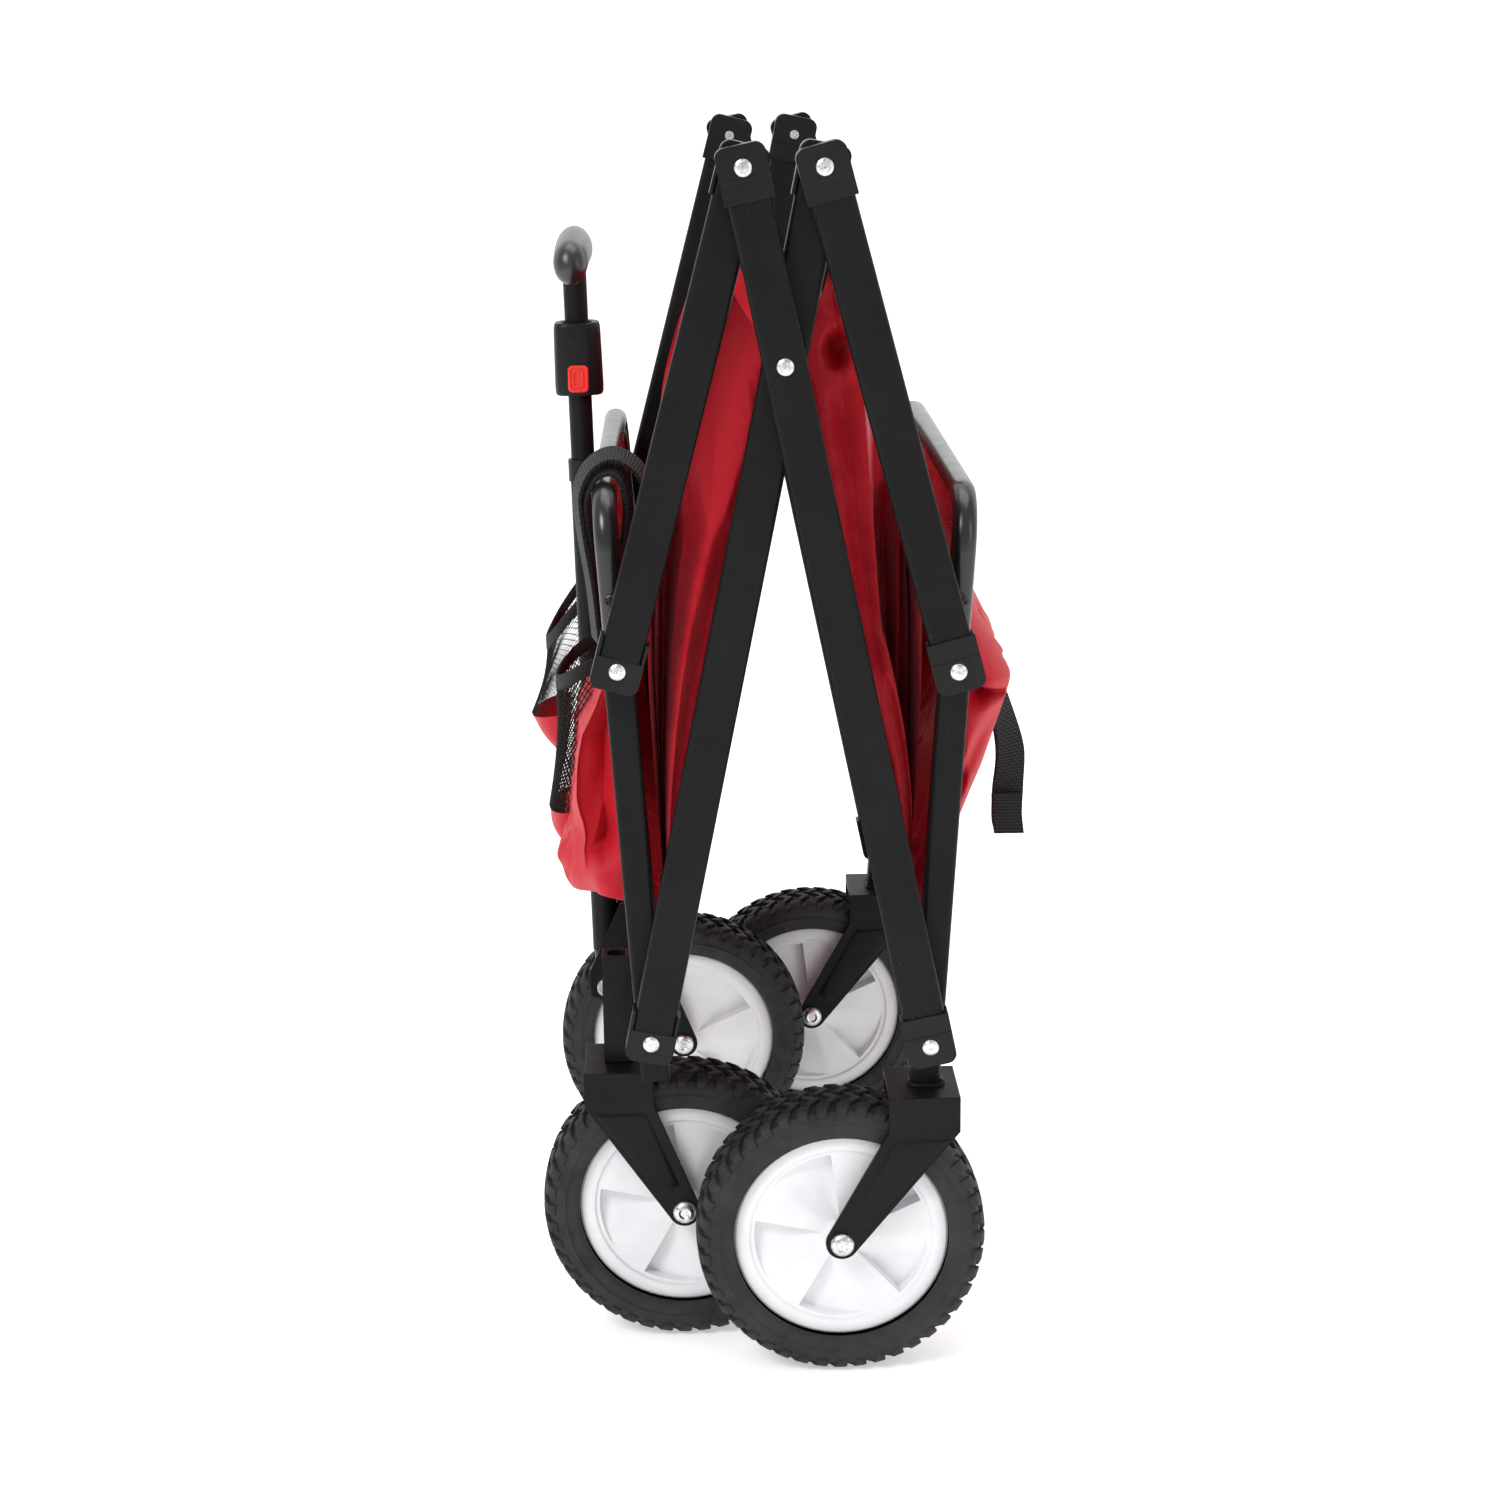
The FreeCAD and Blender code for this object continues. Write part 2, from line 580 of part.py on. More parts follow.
def handle_bolt():
    """The bolt that the handle swings on, with a head and a nut."""
    body = new_body("handle_bolt")
    sketch = new_sketch(body, "XZ_Plane")
    face, end = "(cheek_gap / 2 + cheek_wall)", "(cheek_gap / 2 + cheek_wall + 4)"
    outline(sketch, [("0", f"-{end}"), ("1.6 * handle_bolt_radius", f"-{end}"),
                     ("1.6 * handle_bolt_radius", f"-{face}"), ("handle_bolt_radius", f"-{face}"),
                     ("handle_bolt_radius", face), ("1.6 * handle_bolt_radius", face),
                     ("1.6 * handle_bolt_radius", end), ("0", end)])
    revolve(body, sketch)
    return body


def yoke():
    """The eye at the handle's foot, with the plug that stands in the lower tube."""
    body = new_body("handle_eye")
    plug = new_sketch(body, "XY_Plane")
    ring(plug, "0", "0", "upper_tube_radius")
    pad(body, plug, "yoke_plug", symmetric=False)
    eye = new_sketch(body, "XZ_Plane")
    ring(eye, "0", "0", "eye_radius")
    pad(body, eye, "eye_width")
    bore = new_sketch(body, "XZ_Plane")
    ring(bore, "0", "0", "handle_bolt_radius + running_gap")
    pocket(body, bore, "2 * eye_width")
    return body


def collar():
    """The moulded release housing on top of the upper tube, with the button's seat."""
    body = new_body("handle_collar")
    sketch = new_sketch(body, "XY_Plane")
    sketch.AttachmentOffset = Placement(Vector(0, 0, size("collar_foot")), UPRIGHT)
    rectangle(sketch, "collar_x", "collar_y", "-collar_y / 2")
    block = pad(body, sketch, "collar_head - collar_foot", symmetric=False)
    round_edges(body, block, "collar_round", runs_along(Vector(0, 0, 1)))
    bore = new_sketch(body, "XY_Plane")
    ring(bore, "0", "0", "upper_tube_radius")
    pocket(body, bore, "4 * collar_head")
    seat = new_sketch(body, "XZ_Plane")
    seat.AttachmentOffset = Placement(Vector(0, 0, size("collar_y / 2")), UPRIGHT)
    rectangle(seat, "button_x + 2 * button_gap", "button_z + 2 * button_gap",
              "button_height - button_z / 2 - button_gap")
    pocket(body, seat, "2 * (button_depth - button_proud + button_travel + button_gap)")
    return body


def grip():
    """The cross grip: oval, fuller in the middle, rounded off at both ends."""
    half = size("grip_length") / 2
    stations = [(-half, 0.35), (-half * 0.95, 0.8), (-half * 0.82, 1.0)]
    wires = []

    def oval(y, across, tall):
        wider = max(across, tall) / 2
        narrower = min(across, tall) / 2
        curve = Part.Ellipse(Vector(), wider, narrower).toShape()
        loop = Part.Wire([curve])
        turned = Rotation(Vector(0, 0, 1), Vector(0, 1, 0)).multiply(Rotation(Vector(0, 0, 1), 90))
        loop.Placement = Placement(Vector(0, y, 0), turned)
        return loop

    for y, share in stations:
        wires.append(oval(y, size("grip_end_x") * share, size("grip_end_z") * share))
    wires.append(oval(-half * 0.3, size("grip_mid_x"), size("grip_mid_z")))
    wires.append(oval(half * 0.3, size("grip_mid_x"), size("grip_mid_z")))
    for y, share in reversed(stations):
        wires.append(oval(-y, size("grip_end_x") * share, size("grip_end_z") * share))
    solid = Part.makeLoft(wires, True)
    reach = size("collar_head") - size("grip_height")
    socket = Part.makeCylinder(size("upper_tube_radius"), -reach, Vector(0, 0, reach))
    item = document.addObject("Part::Feature", "handle_grip")
    item.Label = "handle_grip"
    item.Shape = solid.cut(socket)
    return item


def button():
    """The spring button in the collar's left face."""
    body = new_body("release_button")
    sketch = new_sketch(body, "XZ_Plane")
    rectangle(sketch, "button_x", "button_z", "-button_z / 2")
    block = pad(body, sketch, "button_depth", symmetric=False)
    round_edges(body, block, "button_proud", runs_along(Vector(0, 1, 0)))
    return body


def on_handle(height, y=0.0):
    """A place on the handle, at a height up from its pivot."""
    return Vector(*PIVOT) + HANDLE_TURN.multVec(Vector(0, y, height))


finish(handle_bracket(), PIVOT)
finish(handle_bolt(), PIVOT, facing(-1))
finish(yoke(), PIVOT, HANDLE_TURN)
finish(round_tube("handle_lower_tube", "lower_tube_radius", "lower_tube_bore", "lower_tube_foot",
                  "lower_tube_head"), PIVOT, HANDLE_TURN)
finish(round_tube("handle_bush", "bush_radius", "lower_tube_bore", "lower_tube_head",
                  "lower_tube_head + bush_height"), PIVOT, HANDLE_TURN)
finish(round_tube("handle_upper_tube", "upper_tube_radius", "upper_tube_bore", "upper_tube_foot",
                  "grip_height - 2"), PIVOT, HANDLE_TURN)
finish(collar(), PIVOT, HANDLE_TURN)
finish(grip(), on_handle(size("grip_height")), HANDLE_TURN)
button_y = size("button_depth - button_proud - collar_y / 2")
finish(button(), on_handle(size("button_height"), button_y), HANDLE_TURN)


# ---------------------------------------------------------------- floor boards and fabric

def board(label, end):
    """One half of the stiffened floor, hinged at its frame and folded up."""
    body = new_body(label)
    sketch = new_sketch(body, "XZ_Plane")
    rectangle(sketch, "board_thick", "board_length")
    pad(body, sketch, "board_width")
    finish(body, (end * size("board_x"), 0, size("board_z")), about_y(-end * size("board_tilt")))


def end_wall(end_name, end):
    """The cloth wall between the posts of one frame."""
    body = new_body(f"{end_name}_wall")
    sketch = new_sketch(body, "XZ_Plane")
    near, far = "-panel_out", "-panel_out + cloth"
    outline(sketch, [(near, "panel_foot"), (far, "panel_foot"), (far, "panel_head"), (near, "panel_head")])
    pad(body, sketch, "panel_width")
    body.Placement = Placement(mirrored(FOOT, end), about_y(end * LEAN))
    return body


def side_walls(end_name, end):
    """The folded cloth between a post and the long arm beside it, on both sides."""
    low = mirrored(FOOT, end)
    rise = about_y(end * LEAN).multVec(Vector(0, 0, 1))
    climb = about_y(-end * TILT).multVec(Vector(0, 0, 1))
    corners = [low + rise * size("panel_foot"), low + rise * size("panel_head"),
               mirrored(CROSS, end) + Vector(end * 4, 0, 40), low + climb * 380, low + climb * 110]
    made = []
    for side_name, side in SIDES:
        y = side * size("side_wall_y") - size("cloth") / 2
        face = Part.Face(Part.makePolygon([Vector(place.x, y, place.z) for place in corners + corners[:1]]))
        sheet_item = document.addObject("Part::Feature", f"{end_name}_side_wall_{side_name}")
        sheet_item.Shape = face.extrude(Vector(0, size("cloth"), 0))
        made.append(sheet_item)
    return made


def cup_holder(label):
    """An open pocket on the front wall, in the front frame's own axes."""
    body = new_body(label)
    sketch = new_sketch(body, "XZ_Plane")
    near, far = "-panel_out", "-panel_out - cup_depth"
    outline(sketch, [(near, "cup_foot"), (near, "cup_head"), (far, "cup_head"), (far, "cup_foot")])
    pad(body, sketch, "cup_width")
    room = new_sketch(body, "XZ_Plane")
    back, front = f"{near} - cup_wall", f"{far} + cup_wall"
    low, high = "cup_foot + cup_wall", "cup_head + cup_wall"
    outline(room, [(back, low), (back, high), (front, high), (front, low)])
    pocket(body, room, "cup_width - 2 * cup_wall")
    return body


def webbing_loop():
    """A webbing loop round the front rail, with a hanging tail."""
    body = new_body("webbing_loop")
    sketch = new_sketch(body, "XZ_Plane")
    ring(sketch, "0", "rail_top", "loop_radius + cloth")
    ring(sketch, "0", "rail_top", "loop_radius")
    pad(body, sketch, "strap_width")
    tail = new_sketch(body, "XZ_Plane")
    near, far = "-loop_radius", "-loop_radius - cloth"
    outline(tail, [(near, "rail_top - loop_tail"), (near, "rail_top"), (far, "rail_top"),
                   (far, "rail_top - loop_tail")])
    pad(body, tail, "strap_width")
    return body


def closure_strap():
    """The loose strap behind the rear wall."""
    body = new_body("closure_strap")
    sketch = new_sketch(body, "XZ_Plane")
    root = "post_x + panel_out + 12"
    outline(sketch, [(root, "strap_high - 2"), ("strap_reach - 8", "strap_high - 12"),
                     ("strap_reach - 2", "strap_low"), ("strap_reach", "strap_low"),
                     ("strap_reach - 6", "strap_high - 10"), (root, "strap_high")])
    pad(body, sketch, "strap_width")
    return body


board("front_floor_board", -1)
board("rear_floor_board", 1)
for end_name, end in (("front", -1), ("rear", 1)):
    group(f"{end_name}_tub", [end_wall(end_name, end)] + side_walls(end_name, end))
cups = []
for side_name, side in SIDES:
    cup = cup_holder(f"cup_holder_{side_name}")
    cup.Placement = Placement(FOOT + Vector(0, side * size("cup_y"), 0), about_y(-LEAN))
    cups.append(cup)
group("cup_holders", cups)
finish(webbing_loop(), FOOT + Vector(0, -size("loop_y"), 0), about_y(-LEAN))
finish(closure_strap(), (0, -size("strap_y"), 0))


# ---------------------------------------------------------------- check and write

document.recompute()
for item in document.Objects:
    assert not {"Invalid", "Error"} & set(item.State), f"{item.Label}: {item.State}"
os.makedirs("parts", exist_ok=True)
for node in nodes:
    assert not node.Shape.isNull() and node.Shape.isValid(), f"{node.Label}: bad shape"
    node.Shape.exportStep(f"parts/{node.Label}.step")
print(len(nodes), "nodes written")
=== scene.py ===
import math

import bpy
import numpy as np
from mathutils import Matrix, Vector, noise


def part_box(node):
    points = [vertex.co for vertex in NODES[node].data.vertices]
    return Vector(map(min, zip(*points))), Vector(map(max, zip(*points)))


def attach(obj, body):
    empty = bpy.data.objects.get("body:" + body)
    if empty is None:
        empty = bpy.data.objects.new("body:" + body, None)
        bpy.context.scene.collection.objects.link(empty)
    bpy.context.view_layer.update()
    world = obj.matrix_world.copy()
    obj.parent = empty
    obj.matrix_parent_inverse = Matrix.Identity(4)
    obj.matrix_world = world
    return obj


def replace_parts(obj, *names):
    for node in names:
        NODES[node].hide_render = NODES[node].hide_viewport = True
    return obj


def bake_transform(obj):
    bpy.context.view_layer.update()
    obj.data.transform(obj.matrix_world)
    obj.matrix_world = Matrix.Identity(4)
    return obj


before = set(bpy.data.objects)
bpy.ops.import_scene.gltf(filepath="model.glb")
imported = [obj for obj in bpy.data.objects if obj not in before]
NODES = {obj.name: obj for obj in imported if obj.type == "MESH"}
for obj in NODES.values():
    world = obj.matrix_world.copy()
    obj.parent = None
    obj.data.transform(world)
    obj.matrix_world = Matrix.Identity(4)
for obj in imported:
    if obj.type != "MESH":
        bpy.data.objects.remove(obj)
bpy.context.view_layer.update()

# Folding wagon, stored folded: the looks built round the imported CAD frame.
# Metres, +Z up, the floor at z = 0; the front is towards -X and the left side towards -Y.

SIDES = (("left", -1), ("right", 1))
ENDS = (("front", -1), ("rear", 1))
MM = 0.001

# The linkage, as the CAD has it: foot pivots of the posts, their lean, the hinges of the floor boards and
# their tilt. WALL is half a side wall standing open: height at the post, height in the middle and length.
FOOT_X, FOOT_Z = 0.0838, 0.2139
LEAN = math.radians(3.7)
HINGE_X, HINGE_Z = 0.0716, 0.262
BOARD_TILT = math.radians(11.3)
WALL = (0.283, 0.180, 0.3715)


# ---------------------------------------------------------------- camera, light and floor

def set_camera():
    """Looks at the left side from a little above, level with the middle of the wagon."""
    pitch, yaw, roll = math.radians(15.14), math.radians(1.29), math.radians(-0.675)
    ahead = Vector((math.sin(yaw) * math.cos(pitch), math.cos(yaw) * math.cos(pitch), -math.sin(pitch)))
    right = Vector((math.cos(yaw), -math.sin(yaw), 0))
    up = right.cross(ahead)
    across = right * math.cos(roll) + up * math.sin(roll)
    above = -right * math.sin(roll) + up * math.cos(roll)
    data = bpy.data.cameras.new("camera")
    data.lens = 65.55
    data.clip_end = 60
    camera = bpy.data.objects.new("camera", data)
    turn = Matrix((across, above, -ahead)).transposed().to_4x4()
    camera.matrix_world = Matrix.Translation((-0.0569, -1.7478, 0.8147)) @ turn
    bpy.context.scene.collection.objects.link(camera)
    bpy.context.scene.camera = camera


def area_light(name, place, aim, size, power):
    """A rectangular lamp aimed at a point."""
    data = bpy.data.lights.new(name, "AREA")
    data.shape = "RECTANGLE"
    data.size, data.size_y = size
    data.energy = power
    lamp = bpy.data.objects.new(name, data)
    lamp.location = place
    lamp.rotation_euler = (Vector(aim) - Vector(place)).to_track_quat("-Z", "Y").to_euler()
    bpy.context.scene.collection.objects.link(lamp)


def set_light():
    """Even white surroundings with a key lamp from the front left, a weak fill and a broad lamp overhead."""
    world = bpy.data.worlds.new("studio")
    world.use_nodes = True
    world.node_tree.nodes["Background"].inputs["Color"].default_value = (1.0, 1.0, 1.0, 1.0)
    world.node_tree.nodes["Background"].inputs["Strength"].default_value = 0.55
    bpy.context.scene.world = world
    bpy.context.scene.view_settings.view_transform = "Standard"
    area_light("key", (-1.5, -1.7, 2.3), (0.0, 0.0, 0.35), (0.9, 0.9), 36)
    area_light("fill", (1.9, -1.5, 1.2), (0.0, 0.0, 0.35), (0.7, 1.4), 6)
    area_light("top", (0.1, 0.2, 2.6), (0.0, 0.0, 0.3), (2.0, 1.4), 22)


# ---------------------------------------------------------------- materials

class Shader:
    """A small helper for building a Principled material out of nodes."""

    def __init__(self, name):
        self.material = bpy.data.materials.new(name)
        self.material.use_nodes = True
        self.tree = self.material.node_tree
        self.main = self.tree.nodes["Principled BSDF"]

    def node(self, kind, **settings):
        made = self.tree.nodes.new("ShaderNode" + kind)
        for key, value in settings.items():
            setattr(made, key, value)
        return made

    def join(self, source, target):
        self.tree.links.new(source, target)

    def place(self, uv=False, scale=(1, 1, 1), turn=0.0):
        """Object or UV coordinates, both in metres."""
        where = self.node("TexCoord").outputs["UV" if uv else "Object"]
        if scale == (1, 1, 1) and not turn:
            return where
        mapping = self.node("Mapping")
        mapping.inputs["Scale"].default_value = scale
        mapping.inputs["Rotation"].default_value = (0, 0, turn)
        self.join(where, mapping.inputs["Vector"])
        return mapping.outputs["Vector"]

    def noise(self, where, scale, detail=3.0, rough=0.55):
        made = self.node("TexNoise")
        made.inputs["Scale"].default_value = scale
        made.inputs["Detail"].default_value = detail
        made.inputs["Roughness"].default_value = rough
        self.join(where, made.inputs["Vector"])
        return made.outputs["Fac"]

    def wave(self, where, scale, direction="X", distortion=0.0):
        made = self.node("TexWave", wave_type="BANDS", bands_direction=direction, wave_profile="SIN")
        made.inputs["Scale"].default_value = scale
        made.inputs["Distortion"].default_value = distortion
        self.join(where, made.inputs["Vector"])
        return made.outputs["Fac"]

    def ramp(self, value, low, high, first=0.35, last=0.65):
        made = self.node("ValToRGB")
        made.color_ramp.elements[0].position = first
        made.color_ramp.elements[1].position = last
        made.color_ramp.elements[0].color = (*low, 1)
        made.color_ramp.elements[1].color = (*high, 1)
        self.join(value, made.inputs["Fac"])
        return made.outputs["Color"]

    def spread(self, value, low, high):
        made = self.node("MapRange")
        made.inputs["To Min"].default_value = low
        made.inputs["To Max"].default_value = high
        self.join(value, made.inputs["Value"])
        return made.outputs["Result"]

    def combine(self, first, second, operation="ADD"):
        made = self.node("Math", operation=operation)
        for slot, item in zip(made.inputs, (first, second)):
            if isinstance(item, (int, float)):
                slot.default_value = item
            else:
                self.join(item, slot)
        return made.outputs["Value"]

    def blend(self, share, low, high):
        made = self.node("MixRGB")
        for slot, item in zip(made.inputs, (share, low, high)):
            if isinstance(item, tuple):
                slot.default_value = (*item, 1)
            elif isinstance(item, (int, float)):
                slot.default_value = item
            else:
                self.join(item, slot)
        return made.outputs["Color"]

    def relief(self, *layers, edge=0.0):
        """Stacks bump layers, each (height, strength, distance), over softened edges."""
        last = None
        if edge:
            bevel = self.node("Bevel", samples=6)
            bevel.inputs["Radius"].default_value = edge
            last = bevel.outputs["Normal"]
        for height, strength, distance in layers:
            bump = self.node("Bump")
            bump.inputs["Strength"].default_value = strength
            bump.inputs["Distance"].default_value = distance
            self.join(height, bump.inputs["Height"])
            if last is not None:
                self.join(last, bump.inputs["Normal"])
            last = bump.outputs["Normal"]
        self.join(last, self.main.inputs["Normal"])

    def surface(self, colour, roughness, metallic=0.0, specular=0.5):
        for name, item in (("Base Color", colour), ("Roughness", roughness)):
            if isinstance(item, tuple):
                self.main.inputs[name].default_value = (*item, 1)
            elif isinstance(item, (int, float)):
                self.main.inputs[name].default_value = item
            else:
                self.join(item, self.main.inputs[name])
        self.main.inputs["Metallic"].default_value = metallic
        self.main.inputs["Specular IOR Level"].default_value = specular


def coated(name, dark, light, rough, grain, edge, specular=0.5):
    """Powder coat or moulded plastic: fine grain, slow colour drift and small scuffs."""
    s = Shader(name)
    where = s.place()
    drift = s.noise(where, 14, 4)
    specks = s.ramp(s.noise(where, 420, 2), (0, 0, 0), (1, 1, 1), 0.74, 0.80)
    base = s.ramp(drift, dark, light)
    s.surface(s.blend(specks, base, tuple(min(1, c * 3 + 0.02) for c in light)),
              s.spread(s.noise(where, 60, 4), rough - 0.07, rough + 0.09), specular=specular)
    s.relief((s.noise(where, grain, 2), 0.16, 0.0004), (drift, 0.10, 0.001), edge=edge)
    return s.material


def zinc():
    """Zinc plate: mottled, bright and a little uneven."""
    s = Shader("zinc")
    where = s.place()
    mottled = s.noise(where, 650, 4)
    s.surface(s.ramp(mottled, (0.52, 0.52, 0.54), (0.90, 0.90, 0.91)), s.spread(mottled, 0.18, 0.42), 1.0)
    s.relief((s.noise(where, 900, 3), 0.45, 0.0004), edge=0.0006)
    return s.material


def moulded_white():
    """The cool white plastic of the wheel discs."""
    s = Shader("white_plastic")
    where = s.place()
    s.surface(s.ramp(s.noise(where, 30, 4), (0.79, 0.80, 0.825), (0.86, 0.865, 0.885)),
              s.spread(s.noise(where, 90, 3), 0.34, 0.5))
    s.relief((s.noise(where, 700, 2), 0.06, 0.0004), edge=0.0007)
    return s.material


def rubber():
    """Tyre rubber with a thin uneven dust."""
    s = Shader("tyre")
    where = s.place()
    dusty = s.noise(where, 45, 5, 0.65)
    s.surface(s.ramp(dusty, (0.010, 0.010, 0.011), (0.026, 0.025, 0.025)),
              s.spread(s.noise(where, 150, 4), 0.52, 0.78), specular=0.38)
    s.relief((s.noise(where, 800, 4), 0.30, 0.0005), edge=0.0005)
    return s.material


def twill():
    """The woven red cloth: diagonal ribs crossed by a finer thread, with painted shade that darkens the low
    threads.
    """
    s = Shader("red_cloth")
    ribs = s.wave(s.place(uv=True, turn=math.radians(40)), 230, "X", 0.6)
    threads = s.wave(s.place(uv=True), 420, "Y", 0.3)
    weave = s.combine(s.combine(ribs, 0.65, "MULTIPLY"), s.combine(threads, 0.35, "MULTIPLY"))
    drift = s.noise(s.place(), 11, 5)
    # Painted shade: the weave's low parts, between the raised threads, are painted a darker red.
    weave_groove_shade = s.ramp(weave, (0, 0, 0), (1, 1, 1), 0.15, 0.85)
    base = s.blend(weave_groove_shade, (0.40, 0.0010, 0.008), (0.66, 0.002, 0.018))
    s.surface(s.blend(s.spread(drift, 0.0, 0.30), base, (0.42, 0.003, 0.016)),
              s.spread(weave, 0.60, 0.42), specular=0.30)
    s.main.inputs["Sheen Weight"].default_value = 0.14
    s.main.inputs["Sheen Roughness"].default_value = 0.35
    s.main.inputs["Sheen Tint"].default_value = (1.0, 0.45, 0.52, 1)
    s.relief((weave, 0.42, 0.0005), (s.noise(s.place(), 160, 4), 0.12, 0.001))
    return s.material


def webbing(name, pitch, light=0.010):
    """Black woven tape: raised cross ribs with a herringbone along the length, with painted shade in the
    grooves between them.
    """
    s = Shader(name)
    along = s.wave(s.place(uv=True), 0.314 / pitch, "Y", 0.4)
    across = s.wave(s.place(uv=True, turn=math.radians(45)), 0.22 / pitch, "X", 0.2)
    weave = s.combine(s.combine(along, 0.6, "MULTIPLY"), s.combine(across, 0.4, "MULTIPLY"))
    # Painted shade: the weave's grooves are painted darker than its raised ribs.
    s.surface(s.ramp(weave, (0.004, 0.004, 0.004), (light, light, light * 0.97), 0.2, 0.8),
              s.spread(weave, 0.85, 0.62), specular=0.3)
    s.main.inputs["Sheen Weight"].default_value = 0.05
    s.relief((weave, 0.9, 0.0008), (s.noise(s.place(), 300, 3), 0.2, 0.0008))
    return s.material


def stage_floor():
    """The pale floor, which glows a little so that it reads as white."""
    s = Shader("pale_floor")
    pale = s.ramp(s.noise(s.place(), 2.0, 2), (0.945, 0.945, 0.94), (0.955, 0.955, 0.95))
    s.surface(pale, 0.75, specular=0.15)
    s.main.inputs["Emission Color"].default_value = (1.0, 1.0, 0.99, 1.0)
    s.main.inputs["Emission Strength"].default_value = 0.42
    return s.material


MATERIALS = {
    "black_frame": coated("black_frame", (0.0060, 0.0060, 0.0064), (0.0090, 0.0090, 0.0094),
                          0.42, 1100, 0.0012, 0.14),
    "rail": coated("rail_gloss", (0.0090, 0.0090, 0.0095), (0.0130, 0.0130, 0.0135), 0.24, 900, 0.0, 0.6),
    "black_plastic": coated("black_plastic", (0.0060, 0.0060, 0.0064), (0.0095, 0.0095, 0.0100),
                            0.36, 700, 0.0011, 0.22),
    "rubber_grip": coated("rubber_grip", (0.0075, 0.0075, 0.0080), (0.0110, 0.0110, 0.0115),
                          0.30, 1300, 0.0, 0.75),
    "zinc": zinc(),
    "white_plastic": moulded_white(),
    "tyre": rubber(),
    "red_cloth": twill(),
    "webbing": webbing("black_webbing", 0.0021),
    "elastic": webbing("black_elastic", 0.0012, 0.008),
    "net": webbing("black_net", 0.0010, 0.016),
    "red_plastic": coated("red_plastic", (0.78, 0.018, 0.010), (0.88, 0.030, 0.018), 0.34, 500, 0.0004),
    "pale_floor": stage_floor(),
    "screw": coated("black_screw", (0.0090, 0.0090, 0.0090), (0.0220, 0.0220, 0.0220), 0.24, 900, 0.0005),
}


# ---------------------------------------------------------------- mesh helpers

def piece(name, points, faces, material, body=None, uv=None):
    """A smooth mesh object from points in the row frame, riding on a body."""
    mesh = bpy.data.meshes.new(name)
    mesh.from_pydata([tuple(map(float, p)) for p in points], [], [tuple(f) for f in faces])
    mesh.update()
    if uv is not None:
        layer = mesh.uv_layers.new(name="UVMap")
        flat = np.asarray(uv, float)[[loop.vertex_index for loop in mesh.loops]]
        layer.data.foreach_set("uv", flat.ravel())
    mesh.polygons.foreach_set("use_smooth", [True] * len(mesh.polygons))
    mesh.materials.append(MATERIALS[material])
    made = bpy.data.objects.new(name, mesh)
    bpy.context.scene.collection.objects.link(made)
    if body:
        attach(made, body)
    return made


def grid_faces(rows, columns, closed_rows=False, closed_columns=False):
    """Quads over a grid of points; either way round may close on itself."""
    faces = []
    for i in range(rows if closed_rows else rows - 1):
        for j in range(columns if closed_columns else columns - 1):
            k, l = (i + 1) % rows, (j + 1) % columns
            faces.append((i * columns + j, k * columns + j, k * columns + l, i * columns + l))
    return faces


def capped_faces(rings, count):
    """Quads round a stack of closed rings, with a cap on the first and the last."""
    faces = grid_faces(rings, count, closed_columns=True)
    faces.append(tuple(range(count)))
    faces.append(tuple(range((rings - 1) * count, rings * count)))
    return faces


def wall_faces(levels, count):
    """Quads between levels of closed outlines, wound the other way round."""
    faces = []
    for level in range(levels - 1):
        near, far = level * count, (level + 1) * count
        for j in range(count):
            k = (j + 1) % count
            faces.append((near + j, near + k, far + k, far + j))
    return faces


def lathe(profile, steps):
    """Turns (y, r) pairs about the Y axis. Returns points and faces."""
    points = []
    for k in range(steps):
        turn = 2 * math.pi * k / steps
        points += [(r * math.cos(turn), y, r * math.sin(turn)) for y, r in profile]
    return points, grid_faces(steps, len(profile), closed_rows=True)


def moved(points, offset):
    """The points shifted by an offset."""
    return [(p[0] + offset[0], p[1] + offset[1], p[2] + offset[2]) for p in points]


def sharp(item, degrees):
    """Keeps edges steeper than this hard on a smooth mesh."""
    item.data.set_sharp_from_angle(angle=math.radians(degrees))
    return item


def dress(material, *names):
    """Gives CAD nodes a material and crisp edges."""
    for name in names:
        NODES[name].data.materials.clear()
        NODES[name].data.materials.append(MATERIALS[material])
        sharp(NODES[name], 30)


def backdrop():
    """A plain pale floor that curves up into a wall far behind."""
    reach, bend_start, bend, top = 60.0, 2.4, 2.0, 9.0
    turns = [math.pi / 32 * k for k in range(1, 17)]
    section = [(-reach, 0.0), (bend_start, 0.0)]
    section += [(bend_start + bend * math.sin(turn), bend - bend * math.cos(turn)) for turn in turns]
    section.append((bend_start + bend, top))
    points = [(x, y, z) for x in (-reach, reach) for y, z in section]
    return piece("pale_ground", points, grid_faces(2, len(section)), "pale_floor")


# ---------------------------------------------------------------- wheels

def tread_block(stations, radius):
    """One lug: stations are (y, r) on top, (y, r) at its foot and its two ends round the tyre."""
    chamfer, depth = 0.0006, 0.0032
    rings = []
    for inset, drop in ((0.0007, 0.0), (0.0, chamfer / depth), (0.0, 1.0)):
        ring = []
        for end in (0, 1):
            order = stations if end == 0 else stations[::-1]
            for top, foot, start, stop in order:
                around = (start + inset) if end == 0 else (stop - inset)
                y = top[0] + (foot[0] - top[0]) * drop
                r = top[1] + (foot[1] - top[1]) * drop
                turn = around / radius
                ring.append((r * math.cos(turn), y, r * math.sin(turn)))
        rings.append(ring)
    count = len(rings[0])
    points = [p for ring in rings for p in ring]
    faces = wall_faces(3, count)
    half = count // 2
    for j in range(half - 1):
        faces.append((j, j + 1, count - 2 - j, count - 1 - j))
    return points, faces


